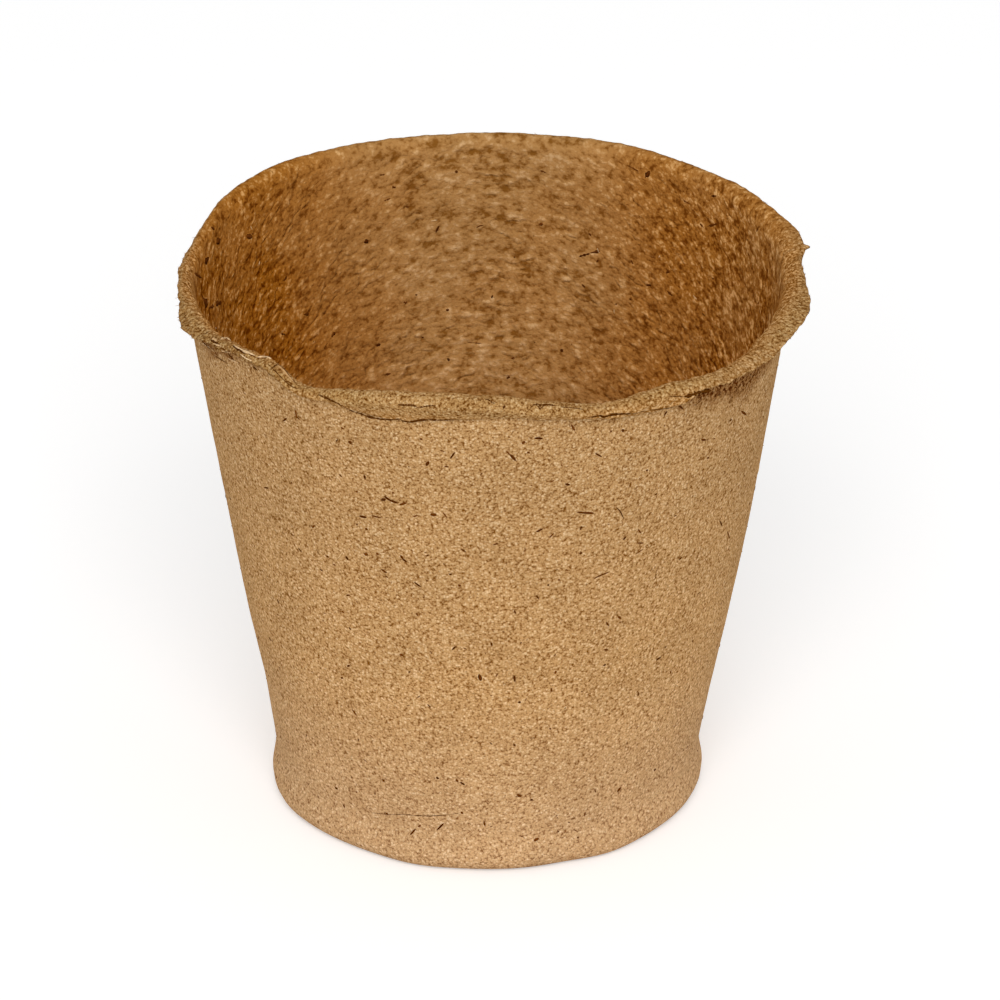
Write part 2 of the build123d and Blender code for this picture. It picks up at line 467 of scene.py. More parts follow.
def all_rows():
    """Every row of the skin in order. The zone runs from 0 outside, over 1 at the torn edge,
    to 2 inside."""
    flat = np.linspace(pole_radius, base_radius - heel_radius - underside_margin, underside_rows)
    rows = level_rows(flat, 0 * flat, pole_columns, outside_zone)
    turn = np.radians(np.linspace(-90, 0, round_rows))
    azimuth = column_azimuths(wall_columns)
    for r, z in zip(base_radius - heel_radius + heel_radius * np.cos(turn),
                    heel_radius + heel_radius * np.sin(turn)):
        rows.append((r + bulge(azimuth, z), np.full(wall_columns, z), outside_zone))
    root = rim_height - lip_root
    heights = np.concatenate([np.linspace(lowest_foot_row, highest_foot_row, foot_rows),
                              np.linspace(lowest_wall_row, root, outer_rows)])
    rows += level_rows(None, heights, wall_columns, outside_zone, 0)
    azimuth = column_azimuths(lip_columns)
    lip_r, lip_z = lip_section(azimuth, bend_rows=8, tail_rows=6, edge_rows=3)
    rows += wall_to_lip(root, lip_z[0], azimuth, 0, outside_zone, steps=9)
    rows += zip(lip_r, lip_z, np.linspace(outside_zone, inside_zone, len(lip_r)))
    rows += wall_to_lip(lip_z[-1], root, azimuth, wall_thickness, inside_zone, steps=4)
    corner_height = floor_thickness + corner_radius
    heights = np.linspace(root, corner_height, inner_rows)
    rows += level_rows(None, heights, wall_columns, inside_zone, wall_thickness)
    turn = np.radians(np.linspace(0, -90, round_rows))[1:]
    corner_r = outer_radius(corner_height) - wall_thickness - corner_radius + corner_radius * np.cos(turn)
    corner_z = corner_height + corner_radius * np.sin(turn)
    rows += level_rows(corner_r, corner_z, wall_columns, inside_zone)
    flat = np.linspace(corner_r[-1] - floor_margin, pole_radius, floor_rows)
    rows += level_rows(flat, floor_thickness + 0 * flat, pole_columns, inside_zone)
    return rows


skin_rows = all_rows()
print(len(skin_rows), "rows,", sum(len(row[0]) for row in skin_rows), "points")

# %% [markdown]
# A strip between two rows with the same number of columns is one quad for each column. Where one
# row has three times as many, each of its short edges makes a triangle with the nearest point of
# the coarse row, and each long edge makes one with the fine point in front of its middle.

# %% Join the rows into faces
def strip(low, high, low_start, high_start):
    """Faces and their columns between two rows, wound so that they face outwards.

    Returns a list of arrays of vertex numbers (faces, corners) and the matching arrays of
    turns, from 0 to 1 round the pot, which the felt's own map of the surface needs.
    """
    if low == high:
        i = np.arange(low)
        columns = np.stack([i, i + 1, i + 1, i], -1)
        start = np.array([low_start, low_start, high_start, high_start])
        return [(start + columns % low, columns / low)]
    flip = low > high
    coarse, fine = min(low, high), max(low, high)
    coarse_start, fine_start = (high_start, low_start) if flip else (low_start, high_start)
    ratio = fine // coarse
    j = np.arange(fine)
    near = (2 * j + ratio) // (2 * ratio)
    i = np.arange(coarse)
    middle = ratio * i + (ratio + 1) // 2
    short_turn = np.stack([near / coarse, (j + 1) / fine, j / fine], -1)
    short = np.stack([coarse_start + near % coarse, fine_start + (j + 1) % fine, fine_start + j], -1)
    long_turn = np.stack([i / coarse, (i + 1) / coarse, middle / fine], -1)
    long = np.stack([coarse_start + i, coarse_start + (i + 1) % coarse, fine_start + middle % fine], -1)
    made = [(short, short_turn), (long, long_turn)]
    return [(face[:, ::-1], turn[:, ::-1]) for face, turn in made] if flip else made


def pole(columns, start, centre, upwards):
    """A fan of triangles that closes the innermost row about a centre point."""
    i = np.arange(columns)
    fan = np.stack([start + i, start + (i + 1) % columns, np.full(columns, centre)], -1)
    turns = np.stack([i / columns, (i + 1) / columns, (i + 0.5) / columns], -1)
    return (fan, turns) if upwards else (fan[:, ::-1], turns[:, ::-1])


joining = sum(len(face) for face, turns in strip(wall_columns, lip_columns, 0, wall_columns))
print(joining, "triangles join a row of the wall to a row of the lip")

# %% [markdown]
# All rows are laid end to end in one array of points, and two more points close the underside
# and the floor. Each point keeps its zone, and its distance along the section from the middle
# of the underside, which becomes one of the two directions of the felt's own map.

# %% Skin as arrays of points, faces and zones
def skin_arrays(rows):
    """Points (N, 3), faces, turns of their corners, and for each point its zone and its
    distance along the section."""
    points, zones, along, starts = [], [], [], []
    travelled, last = 0.0, (0.0, 0.0)
    for radius, height, zone in rows:
        angle = np.radians(seam_azimuth) + 2 * math.pi * np.arange(len(radius)) / len(radius)
        starts.append(sum(len(p) for p in points))
        points.append(np.stack([radius * np.cos(angle), radius * np.sin(angle), height], -1))
        zones.append(np.full(len(radius), float(zone)))
        here = (radius.mean(), height.mean())
        travelled += math.hypot(here[0] - last[0], here[1] - last[1])
        last = here
        along.append(np.full(len(radius), travelled))
    total = sum(len(p) for p in points)
    points += [np.array([[0, 0, 0.0]]), np.array([[0, 0, floor_thickness]])]
    zones += [np.array([outside_zone]), np.array([inside_zone])]
    along += [np.array([0.0]), np.array([travelled + pole_radius])]
    columns = [len(row[0]) for row in rows]
    faces = [pole(columns[0], starts[0], total, False)]
    for n in range(len(rows) - 1):
        faces += strip(columns[n], columns[n + 1], starts[n], starts[n + 1])
    faces.append(pole(columns[-1], starts[-1], total + 1, True))
    return np.concatenate(points), faces, np.concatenate(zones), np.concatenate(along)


skin_points, skin_faces, skin_zone, skin_along = skin_arrays(skin_rows)
triangles = sum(len(f) * (f.shape[1] - 2) for f, turns in skin_faces)
print(f"{len(skin_points)} points, {triangles} triangles")

# %% [markdown]
# ## Relief
# Outside, the mould left the felt nearly smooth, with a grain that only the material can show
# and a slight waviness. Inside it dried free, in lumps of two to five millimetres, drawn out
# along folds that run in planes rising backwards, with thin wrinkles between them. The torn lip
# is rough. The relief is one height for each point, laid off along the surface's own direction.

# %% Folds and wrinkles
fold_tilt = math.radians(33)   # the folds inside run in planes that rise backwards by this much
fold_stretch = 1.8             # how much longer a lump is along the folds than across them
wrinkle_spacing, wrinkle_width = 6.5, 0.13   # the width as a share of the noise's height


def dried_free(zone):
    """0 outside and on the torn edge, 1 on the inside, which dried free of the mould."""
    return step_up(1.3, 1.9, zone)


def along_folds(points, stretch):
    """Points turned about the X axis until the folds lie level, and stretched upwards, so that
    noise read there is drawn out along the folds."""
    x, y, z = np.moveaxis(points, -1, 0)
    across, upwards = math.cos(fold_tilt), math.sin(fold_tilt)
    return np.stack([x, y * across + z * upwards, stretch * (z * across - y * upwards)], -1)


def azimuth_of(points):
    """Azimuths of points in degrees, from -180 to 180."""
    return np.degrees(np.arctan2(points[..., 1], points[..., 0]))


def wrinkles(points):
    """How deep in a wrinkle each point is, from 0 to 1: thin lines where a slow noise, drawn
    out along the folds, crosses zero, broken up by another."""
    drawn_out = along_folds(points, fold_stretch)
    line = np.exp(-(layered_noise(drawn_out, wrinkle_spacing, 71, 2) / wrinkle_width) ** 2)
    return line * step_up(-0.2, 0.3, smooth_noise(points, 6.0, 77))


print(f"{(wrinkles(skin_points) > 0.5).mean():.1%} of the points would lie in a wrinkle")

# %% [markdown]
# Each kind of bump has a height and a size. The kinds are blended by the zone, and less of the
# relief is laid on near the ground, so that the pot stands level.

# %% Height of the relief
broad_height, broad_size = 0.12, 21.0      # waves outside, in millimetres
fine_height, fine_size = 0.04, 6.5
lump_height, lump_size = 0.17, 4.4         # lumps inside, and the slow swell under them
swell_height, swell_size = 0.13, 14.0
wrinkle_depth = 0.22
rough_height, rough_size = 0.06, 1.7       # bumps of the torn edge
rough_frayed = 0.14                        # how much higher they are where it frayed most
ground_share = 0.15                        # how much of the relief is left at the ground


def relief(points, zone):
    """Height of the felt over its plain form, in millimetres, at points (..., 3)."""
    waves = broad_height * smooth_noise(points, broad_size, 41)
    waves = waves + fine_height * layered_noise(points, fine_size, 43, 2)
    lumps = lump_height * layered_noise(along_folds(points, fold_stretch), lump_size, 51, 3)
    lumps = lumps + swell_height * smooth_noise(points, swell_size, 57)
    lumps = lumps - wrinkle_depth * wrinkles(points)
    fray = round_the_rim(fray_column, azimuth_of(points))
    rough = (rough_height + rough_frayed * fray) * layered_noise(points, rough_size, 61, 2)
    inside = dried_free(zone)
    torn = 1 - np.clip(np.abs(zone - 1) / 0.7, 0, 1)
    return waves * (1 - inside) + lumps * inside + rough * torn


def face_normals(points, faces):
    """Outward direction at each point: the sum of the directions of the faces round it."""
    normals = np.zeros_like(points)
    for corners, turns in faces:
        across = points[corners[:, 2]] - points[corners[:, 0]]
        along = points[corners[:, -1]] - points[corners[:, 1]]
        if corners.shape[1] == 3:
            across, along = points[corners[:, 1]] - points[corners[:, 0]], across
        direction = np.cross(across, along)
        for n in range(corners.shape[1]):
            np.add.at(normals, corners[:, n], direction)
    return normals / np.linalg.norm(normals, axis=1, keepdims=True)


def raise_relief(points, normals, zone):
    """Points moved along their own outward direction by the relief, kept above the ground
    and inside the plain model's box."""
    kept = ground_share + (1 - ground_share) * step_up(0, heel_radius, points[:, 2])
    moved = points + normals * (relief(points, zone) * kept)[:, None]
    return np.clip(moved, low_corner, high_corner)


skin_normals = face_normals(skin_points, skin_faces)
felt_points = raise_relief(skin_points, skin_normals, skin_zone)
print(f"relief of up to {np.abs(felt_points - skin_points).max():.2f} mm")

# %% [markdown]
# ## Where the felt is darker
# Some values on each point tell the material where it is and where to darken the felt. Hollows
# are painted darker than lumps, as painted shade. Under the lip, where it stands off the wall,
# the felt is painted dark, as the lip's painted shadow. To the left and right the inside is painted
# a deeper brown than behind, as painted shade. And where the lip frayed most, broken dark crumbs
# show, and the painted shade there is speckled.

# %% Painted shade under the lip
def axis_distance(points):
    """Distance of points from the pot's axis, but at least a millimetre."""
    return np.maximum(np.hypot(points[:, 0], points[:, 1]), 1)


def ahead(points):
    """How far each point lies towards the front: 1 at azimuth -90, 0 at the sides."""
    return -points[:, 1] / axis_distance(points)


farthest_back = 7         # level way from the lip's edge back to the wall that still counts
least_reach = 0.4         # how far down the shade reaches under a lip that doesn't overhang
reach_right, reach_left = 1.2, 0.65   # and how much further for each millimetre of that way
pressed_from, pressed_to = (270, 280), (308, 315)   # azimuths at which a pressed lip begins, ends
ragged_shade = 0.13


def under_lip(points, zone):
    """From 0 to 1, how deep under a lip that stands off the wall each point lies: on the
    underside, and on the wall below it, as far down as the lip shades it from the front.

    This is painted shade: the material darkens the felt by it, as the lip's painted shadow. It
    is shaped as if light came down from the front, a little from the left, passed the lip's edge
    and met the wall lower down. On the right that is further down than on the left, for the
    same level way from the edge back to the wall.
    """
    azimuth = azimuth_of(points)
    around = np.linspace(-180, 180, 721)
    edge_r, edge_z = torn_edge(around)
    wall_r = wall_at(around, edge_z)
    aside = edge_r * np.cos(np.radians(around))
    way_back = np.sqrt(edge_r**2 - aside**2) - np.sqrt(np.maximum(wall_r**2 - aside**2, 0))
    further = np.where(np.abs(around) < 90, reach_right, reach_left)
    reach = np.interp(azimuth, around, least_reach + further * np.clip(way_back, 0, farthest_back))
    overhang = np.interp(azimuth, around, edge_r - wall_r)
    edge_height = np.interp(azimuth, around, edge_z)
    ragged = ragged_shade * layered_noise(points, 2.6, 91, 2)
    below = 1 - step_up(0.62, 1.12, (edge_height - points[:, 2]) / reach + ragged)
    turned = azimuth % 360
    stands_off = 1 - step_up(*pressed_from, turned) * (1 - step_up(*pressed_to, turned))
    sheltered = step_up(0.4, 1.5, overhang) * step_up(0.0, 0.45, ahead(points)) * stands_off
    return below * (1 - step_up(0.75, 0.95, zone)) * sheltered


shade = under_lip(felt_points, skin_zone)
print(f"{(shade > 0.5).mean():.1%} of the points lie in the shade of the lip")

# %% [markdown]
# The other values say which side dried free of the mould, how much painted side shade deepens
# its colour, where the lip's own look shows, where the felt broke open, and where the painted
# shade under the lip is speckled.

# %% Inside, sides and lip
def free_side(points, normals, zone):
    """1 on the side that dried free and 0 on the side that lay on the mould. On the front of
    the lip it fades from the crest outwards, where felt and light are as on the outside."""
    outwards = (normals[:, :2] * points[:, :2]).sum(1) / axis_distance(points)
    high = step_up(rim_height - 5, rim_height - 2.5, points[:, 2])
    on_front = high * step_up(-0.3, 0.3, ahead(points))
    return step_up(1.0, 1.12, zone) * (1 - on_front * step_up(-0.6, 0.5, outwards))


def painted_side_shade(points, zone):
    """From 0 to 1, how much painted side shade the inside gets, which deepens its colour: most to
    the left, a little less to the right, and less again close under the rim there. It stands
    for the shade and the light bounced off the felt at the sides of the cup. Behind, the inner
    side of the lip belongs to it too."""
    sideways = np.abs(points[:, 0]) / axis_distance(points)
    patches = 0.22 * layered_noise(points, 16.0, 81, 2)
    near_rim = step_up(rim_height - 10, rim_height - 3, points[:, 2]) * step_up(-0.6, 0.1, ahead(points))
    right = step_up(20, 45, points[:, 0])
    deeper = step_up(0.15, 0.9, sideways) + patches - 0.5 * near_rim - 0.2 * right
    behind = step_up(0.0, 0.4, -ahead(points)) * step_up(0.8, 1.2, zone)
    return np.clip(deeper, 0, 1) * np.maximum(step_up(1.3, 1.7, zone), behind)


def on_lip(points, zone):
    """From 0 to 1, how much of the lip's own look shows: in front and on the sides, and not
    on the short flange behind."""
    share = step_up(0.25, 0.6, zone) * (1 - step_up(1.75, 2.0, zone))
    forward = ahead(points)
    return share * step_up(-0.5, 0.0, forward) * (1 - 0.3 * step_up(0.88, 0.96, forward))


def frayed_and_shaded(points, zone, shade):
    """From 0 to 1, how much broken felt shows at the torn edge, and how much the painted shade
    under it is speckled, as the stations give it."""
    near_edge = 1 - step_up(0.25, 0.85, np.abs(zone - 1))
    fray = round_the_rim(fray_column, azimuth_of(points))
    return np.maximum(near_edge, shade) * step_up(0.45, 0.85, fray)


felt_values = {
    "zone": skin_zone,
    "inside": free_side(skin_points, skin_normals, skin_zone),
    "hollow": dried_free(skin_zone) * wrinkles(felt_points),
    "shade": shade,
    # depth is the painted side shade inside.
    "depth": painted_side_shade(felt_points, skin_zone),
    "lip": on_lip(felt_points, skin_zone),
    "frayed_and_shaded": frayed_and_shaded(felt_points, skin_zone, shade),
}
for name, value in felt_values.items():
    print(f"{name}: {value.min():.2f} to {value.max():.2f}, {value.mean():.3f} on average")

# %% [markdown]
# The arrays now become a mesh. Each corner of each face also gets its place on the unrolled
# felt, in millimetres, as a UV map: slender fibres are drawn on that map, because they lie in
# the surface. The values of the points go along as attributes, which the material reads.

# %% Make the mesh of the pot
def mesh_piece(name, points, faces, values):
    """A smooth-shaded object in metres from points in millimetres, arrays of faces and named
    values on the points."""
    mesh = bpy.data.meshes.new(name)
    sizes = np.concatenate([np.full(len(f), f.shape[1]) for f in faces])
    corners = np.concatenate([f.ravel() for f in faces])
    mesh.vertices.add(len(points))
    mesh.vertices.foreach_set("co", (points * MM).ravel())
    mesh.loops.add(len(corners))
    mesh.loops.foreach_set("vertex_index", corners.astype(np.int32))
    mesh.polygons.add(len(sizes))
    mesh.polygons.foreach_set("loop_start", (np.cumsum(sizes) - sizes).astype(np.int32))
    mesh.polygons.foreach_set("use_smooth", np.ones(len(sizes), bool))
    mesh.update(calc_edges=True)
    for label, value in values.items():
        mesh.attributes.new(label, "FLOAT", "POINT").data.foreach_set("value", value)
    piece = bpy.data.objects.new(name, mesh)
    bpy.context.scene.collection.objects.link(piece)
    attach(piece, "root")
    return piece


felt_pot = mesh_piece("felt_pot", felt_points, [corners for corners, turns in skin_faces], felt_values)
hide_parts("pot")
mean_turn = math.pi * (foot_radius + mouth_radius)
places = [(turns.ravel() * mean_turn, skin_along[corners].ravel()) for corners, turns in skin_faces]
unrolled = np.concatenate([np.stack(place, -1) for place in places])
felt_pot.data.uv_layers.new(name="unrolled").data.foreach_set("uv", unrolled.ravel())
print(len(felt_pot.data.polygons), "faces in the pot")

# %% [markdown]
# ## Splinters, straws, cracks and painted shadow lines
# Pulp holds splinters of dark wood, flat on the surface, from specks to slivers of three
# millimetres. They could be painted on, but a real sliver also catches light and hides the
# felt under it, so each one is a slender closed spindle. The dark line where the lip meets the
# wall, which is painted shadow, is made the same way, as a long dark spindle laid along it.
#
# To lie on the lumpy felt, each spindle follows a path of points found on it. The felt's faces
# are put into a search tree once, and a line from the camera, from the axis or from far outside
# then finds the first place where it meets them.

# %% Find places on the felt
longest_step = 3.0        # away from the camera, for a line that stays on one side of the pot
felt_faces = [face for corners, turns in skin_faces for face in corners.tolist()]
felt_tree = BVHTree.FromPolygons(felt_points.tolist(), felt_faces)


def first_met(starts, directions):
    """Places (..., 3) where lines from the starts first meet the felt, and the directions in
    which it faces the lines there. Both are not-a-number where a line misses."""
    starts, directions = np.broadcast_arrays(starts, directions)
    lines = zip(starts.reshape(-1, 3).tolist(), directions.reshape(-1, 3).tolist())
    missed = ((math.nan,) * 3,) * 2
    met = [felt_tree.ray_cast(start, direction)[:2] for start, direction in lines]
    met = np.array([[tuple(v) for v in found] if found[0] else missed for found in met])
    places, outward = met[:, 0].reshape(starts.shape), met[:, 1].reshape(starts.shape)
    facing = -np.sign((outward * directions).sum(-1, keepdims=True))
    return places, outward * facing


def seen_paths(lines, stations):
    """Paths on the felt along lines seen in the photograph. Each line is x, y, x, y and so on;
    it is cut into equal steps, and each step is traced from the camera. Where a line strays
    over the crest, its step would meet the wall far behind. It is put as far from the camera
    as the nearest sound step instead, and faces the same way."""
    even = []
    for line in lines:
        corners = np.array(line, float).reshape(-1, 2)
        travelled = np.concatenate([[0], np.cumsum(np.linalg.norm(np.diff(corners, axis=0), axis=1))])
        at = np.linspace(0, travelled[-1], stations)
        even.append(np.stack([np.interp(at, travelled, corners[:, n]) for n in (0, 1)], -1))
    sights = line_of_sight(np.array(even))
    places, outward = first_met(camera_place, sights)
    distance = np.linalg.norm(places - camera_place, axis=-1)
    strays = np.flatnonzero((np.abs(np.diff(distance)) > longest_step).any(1))
    for line in strays:
        sound = np.flatnonzero(distance[line] < distance[line].min() + 2 * longest_step)
        nearest = sound[np.abs(np.arange(stations)[:, None] - sound).argmin(1)]
        places[line] = camera_place + sights[line] * distance[line, nearest, None]
        outward[line] = outward[line, nearest]
    print(len(strays), "of", len(lines), "lines stray over the crest")
    return places, outward


print(len(felt_faces), "faces in the search tree")

# %% [markdown]
# A splinter that nothing in the photograph fixes gets a random azimuth, height and slant.

# %% Random places on the felt
strewn_stations = 7       # points along a strewn path
usual_bow = 0.12          # how far it bends aside, one millimetre from its middle


def strewn_paths(draw, count, lengths, heights, azimuths, inside):
    """Paths on the wall at random azimuths and heights, in random directions, slightly bowed.
    Outside they are found from far outside, and inside from the axis. Short ones are more
    frequent than long ones."""
    azimuth = np.radians(draw.uniform(*azimuths, (count, 1)))
    height = draw.uniform(*heights, (count, 1))
    slant = draw.uniform(0, math.pi, (count, 1))
    length = draw.uniform(*lengths, (count, 1)) ** 2 / lengths[1]
    run = np.linspace(-0.5, 0.5, strewn_stations) * length
    bow = draw.normal(0, usual_bow, (count, 1)) * run**2
    level = run * np.cos(slant) - bow * np.sin(slant)
    height = height + run * np.sin(slant) + bow * np.cos(slant)
    azimuth = azimuth + level / wall_at(0, height)
    outwards = np.stack([np.cos(azimuth), np.sin(azimuth), 0 * azimuth], -1)
    axis = np.stack([0 * height, 0 * height, height], -1)
    if inside:
        return first_met(axis, outwards)
    return first_met(axis + 2 * mouth_radius * outwards, -outwards)


print("a strewn path has", strewn_stations, "points")

# %% [markdown]
# A spindle is four lines round its path, which meet at both ends. All spindles of a kind become
# one piece, because hundreds of pieces of a millimetre would only slow everything down.

# %% Make spindles
def spindles(name, paths, outward, widths, seed, thickness=0.16, lift=0.02, ragged=0.0):
    """One piece of slender closed spindles along paths (count, stations, 3).

    Across a path lie four points: one to each side, one up and one down. Their distance from
    the path is half the width, or half the thickness, times sqrt(1 - t^2), with t from -1 at
    one end to 1 at the other, so that both ends come to a point.
    """
    found = np.isfinite(paths).all((1, 2))
    paths, outward, widths = paths[found], outward[found], np.asarray(widths)[found]
    count, stations = paths.shape[:2]
    draw = np.random.default_rng(seed)
    along = np.gradient(paths, axis=1)
    side = np.cross(along, outward)
    side /= np.linalg.norm(side, axis=-1, keepdims=True)
    profile = np.sqrt(1 - np.linspace(-1, 1, stations) ** 2)
    uneven = 1 + ragged * draw.uniform(-1, 1, (count, stations))
    across = (widths[:, None] / 2 * profile * uneven)[..., None]
    upright = np.minimum(across * 0.8, thickness / 2 * profile[:, None])
    centre = paths + lift * outward
    rings = np.stack([centre + side * across, centre + outward * upright,
                      centre - side * across, centre - outward * upright], 2)[:, 1:-1]
    points = np.concatenate([rings.reshape(count, -1, 3), centre[:, [0, -1]]], 1)
    own = len(points[0])
    ring, corner = np.meshgrid(np.arange(stations - 3), np.arange(4), indexing="ij")
    ring, corner, following = 4 * ring.ravel(), corner.ravel(), (corner.ravel() + 1) % 4
    quads = np.stack([ring + corner, ring + 4 + corner, ring + 4 + following, ring + following], -1)
    four, last = np.arange(4), 4 * (stations - 3)
    tips = np.concatenate([np.stack([np.full(4, own - 2), four, (four + 1) % 4], -1),
                           np.stack([np.full(4, own - 1), last + (four + 1) % 4, last + four], -1)])
    starts = own * np.arange(count)[:, None, None]
    faces = [(starts + quads).reshape(-1, 4), (starts + tips).reshape(-1, 3)]
    values = {"own": np.repeat(draw.uniform(0, 1, count), own)}
    points = np.clip(points.reshape(-1, 3), low_corner, high_corner)
    return mesh_piece(name, points, faces, values)


print("a spindle on", strewn_stations, "points has", 4 * (strewn_stations - 3) + 8, "faces")

# %% [markdown]
# Some spindles follow lines that can be seen in the photograph. Others are strewn at random
# where it shows nothing, as on the back, or where single ones can't be told apart. Each way
# gets a function that finds the paths, makes the spindles and says how many faces they have.

# %% Spindles as seen, and strewn
def seen_spindles(name, marks, stations, seed, wider=1.0, **form):
    """Spindles along lines seen in the photograph. Each mark is a width in millimetres, and
    then x, y, x, y and so on."""
    places, outward = seen_paths([mark[1:] for mark in marks], stations)
    made = spindles(name, places, outward, [wider * mark[0] for mark in marks], seed, **form)
    print(len(made.data.polygons), "faces in", name)
    return made


def strewn_spindles(name, draw, groups, seed):
    """Spindles strewn at random, in groups. Each group is its number, lengths, heights and
    azimuths, whether it lies inside, and its widths. All paths are drawn before all widths."""
    paths = [strewn_paths(draw, *group[:-1]) for group in groups]
    widths = [draw.uniform(*group[-1], group[0]) for group in groups]
    places, outward = (np.concatenate(both) for both in zip(*paths))
    made = spindles(name, places, outward, np.concatenate(widths), seed)
    print(len(made.data.polygons), "faces in", name)
    return made


step_width = sensor_width / focal_length / image_side * camera_distance
print(f"one step of the photograph is {step_width:.3f} mm wide on the pot")

# %% [markdown]
# The splinters that can be told apart in the photograph are put where they are, each as a line
# on it with its width in millimetres.

# %% Dark splinters outside, as seen
fuller = 1.4              # a spindle is this much wider than it looks, because of its points
outside_marks = [
    # width in millimetres, then x, y at both ends
    (0.30, 295, 409, 297, 418), (0.20, 296, 416, 300, 420), (0.26, 283, 421, 287, 418),
    (0.45, 348, 442, 352, 442.5), (0.28, 341, 427, 343, 429), (0.38, 426, 466, 429, 461),
    (0.22, 450, 459, 455, 452), (0.22, 444, 466, 449, 467), (0.30, 420, 438, 422, 440),
    (0.32, 364.5, 475, 365, 479), (0.22, 339, 474, 342, 477), (0.22, 264, 487.5, 269, 488),
    (0.30, 356, 491, 358, 492), (0.28, 392, 492, 394, 493.5), (0.42, 381, 500, 386, 499),
    (0.34, 384, 496, 391, 501), (0.34, 389, 500, 398, 503), (0.32, 399, 505, 407, 502.5),
    (0.34, 359, 516, 367, 517.5), (0.22, 371, 515.5, 382, 518), (0.42, 430, 514.5, 437, 515),
    (0.22, 413, 517, 418, 515), (0.20, 443, 512, 447, 518), (0.28, 356, 524, 358, 525),
    (0.36, 365, 529, 368, 529), (0.24, 312, 528, 315, 525), (0.42, 364, 554.5, 368, 554),
    (0.36, 376, 553.5, 379, 554), (0.36, 400.5, 555, 403, 559), (0.30, 402, 558.5, 407, 562),
    (0.30, 326, 556, 329, 557), (0.36, 346, 556, 348, 560), (0.26, 333, 564, 336, 565.5),
    (0.24, 320, 569, 323, 571), (0.32, 381, 569, 387, 573), (0.24, 298, 548, 302, 552),
    (0.22, 290, 533, 294, 536), (0.24, 461, 549, 466, 552), (0.22, 426, 556, 429, 555),
    (0.24, 414, 582, 421, 587), (0.32, 458, 586, 461, 585), (0.30, 449, 574.5, 452, 574),
    (0.34, 277.5, 599, 279, 604), (0.30, 342, 611, 344, 613), (0.24, 346, 595.5, 350, 595),
    (0.26, 349, 627, 351, 630), (0.22, 416, 613, 418, 616), (0.38, 269, 637, 271, 641),
    (0.40, 399.5, 654.5, 403.5, 655), (0.24, 452, 650, 456, 646), (0.42, 503, 406.5, 505, 407.5),
    (0.26, 571, 424, 575, 431), (0.32, 534, 438, 543, 438.5), (0.36, 522, 444, 525, 441),
    (0.28, 527, 452, 530, 453), (0.20, 506, 450.5, 510, 455), (0.36, 510, 454, 516, 461),
    (0.24, 595, 453, 602, 457), (0.26, 610, 431, 612, 431.5), (0.32, 622, 429, 623.5, 432),
    (0.30, 565, 484, 570, 485), (0.28, 576, 512, 594, 513.5), (0.34, 585, 512.5, 594, 513.5),
    (0.30, 536, 532, 543, 528.5), (0.22, 580, 530, 582, 526), (0.22, 549, 538, 554, 533),
    (0.30, 623, 540, 626, 536.5), (0.22, 638, 529, 641, 533.5), (0.14, 616, 507, 620, 511, 624, 519),
    (0.30, 655, 494.5, 657, 494), (0.28, 646, 470, 648, 470.5), (0.30, 579, 553, 582.5, 553),
    (0.22, 637, 543, 644, 543), (0.18, 636, 554, 643, 549), (0.30, 679, 560, 682, 557),
    (0.24, 593, 579, 600, 575.5, 604, 574, 610, 571.5), (0.32, 558, 580, 560, 579.5),
    (0.28, 548, 584, 548.5, 586), (0.22, 536, 595, 539, 599), (0.22, 514, 610, 516, 614),
    (0.28, 514, 675, 515, 682), (0.24, 606, 622, 609, 626), (0.30, 618, 616, 621, 619),
    (0.30, 604, 649.5, 608, 650), (0.30, 656, 660, 661, 657), (0.28, 491, 642, 492, 646),
    (0.46, 479, 674, 481, 681), (0.26, 720, 521, 722, 526), (0.20, 727, 531, 730, 539),
    (0.32, 741, 411, 746.5, 415), (0.30, 701, 439.5, 706, 440), (0.30, 707, 457.5, 709, 458),
    (0.30, 664, 416, 667, 411), (0.28, 679, 405.5, 683, 409), (0.26, 729, 421, 732, 419.5),
    (0.20, 493, 545, 498, 543), (0.30, 341, 678.5, 343, 677), (0.30, 347, 666.5, 350, 665),
    (0.32, 383, 779, 384, 782), (0.32, 335, 788, 338, 788.5), (0.28, 343, 804, 345, 808),
    (0.30, 356, 791, 357, 793), (0.32, 436, 777, 439, 779), (0.32, 456, 779, 458, 782),
    (0.28, 460, 782, 465, 785), (0.36, 386, 814, 388, 813.5), (0.24, 410, 835, 416, 828.5),
    (0.26, 418, 827, 421, 825), (0.26, 437, 830, 444, 823), (0.30, 461, 811.5, 463, 814),
    (0.26, 484, 821.5, 485, 826), (0.30, 352, 709, 357, 716), (0.38, 517, 794, 521, 797),
    (0.30, 530, 800, 533, 799.5), (0.40, 617, 792, 621, 787), (0.36, 653.5, 770.5, 656, 769),
    (0.40, 533.5, 841, 539, 838), (0.26, 585, 812, 584.5, 816), (0.26, 577, 837, 579, 838),
    (0.36, 518.5, 701.5, 520.5, 703), (0.32, 514, 744, 515, 746), (0.36, 549.5, 729, 551, 728),
    (0.28, 670, 671, 671, 673), (0.28, 606, 664, 603, 666), (0.24, 638.5, 692, 638, 696),
    (0.24, 551, 688, 552, 692), (0.28, 556, 670.5, 555, 674),
]
outside_splinters = seen_spindles("outside_splinters", outside_marks, 7, 101, wider=fuller)

# %% [markdown]
# Inside, the pulp holds fewer splinters, but wider and more ragged chips.

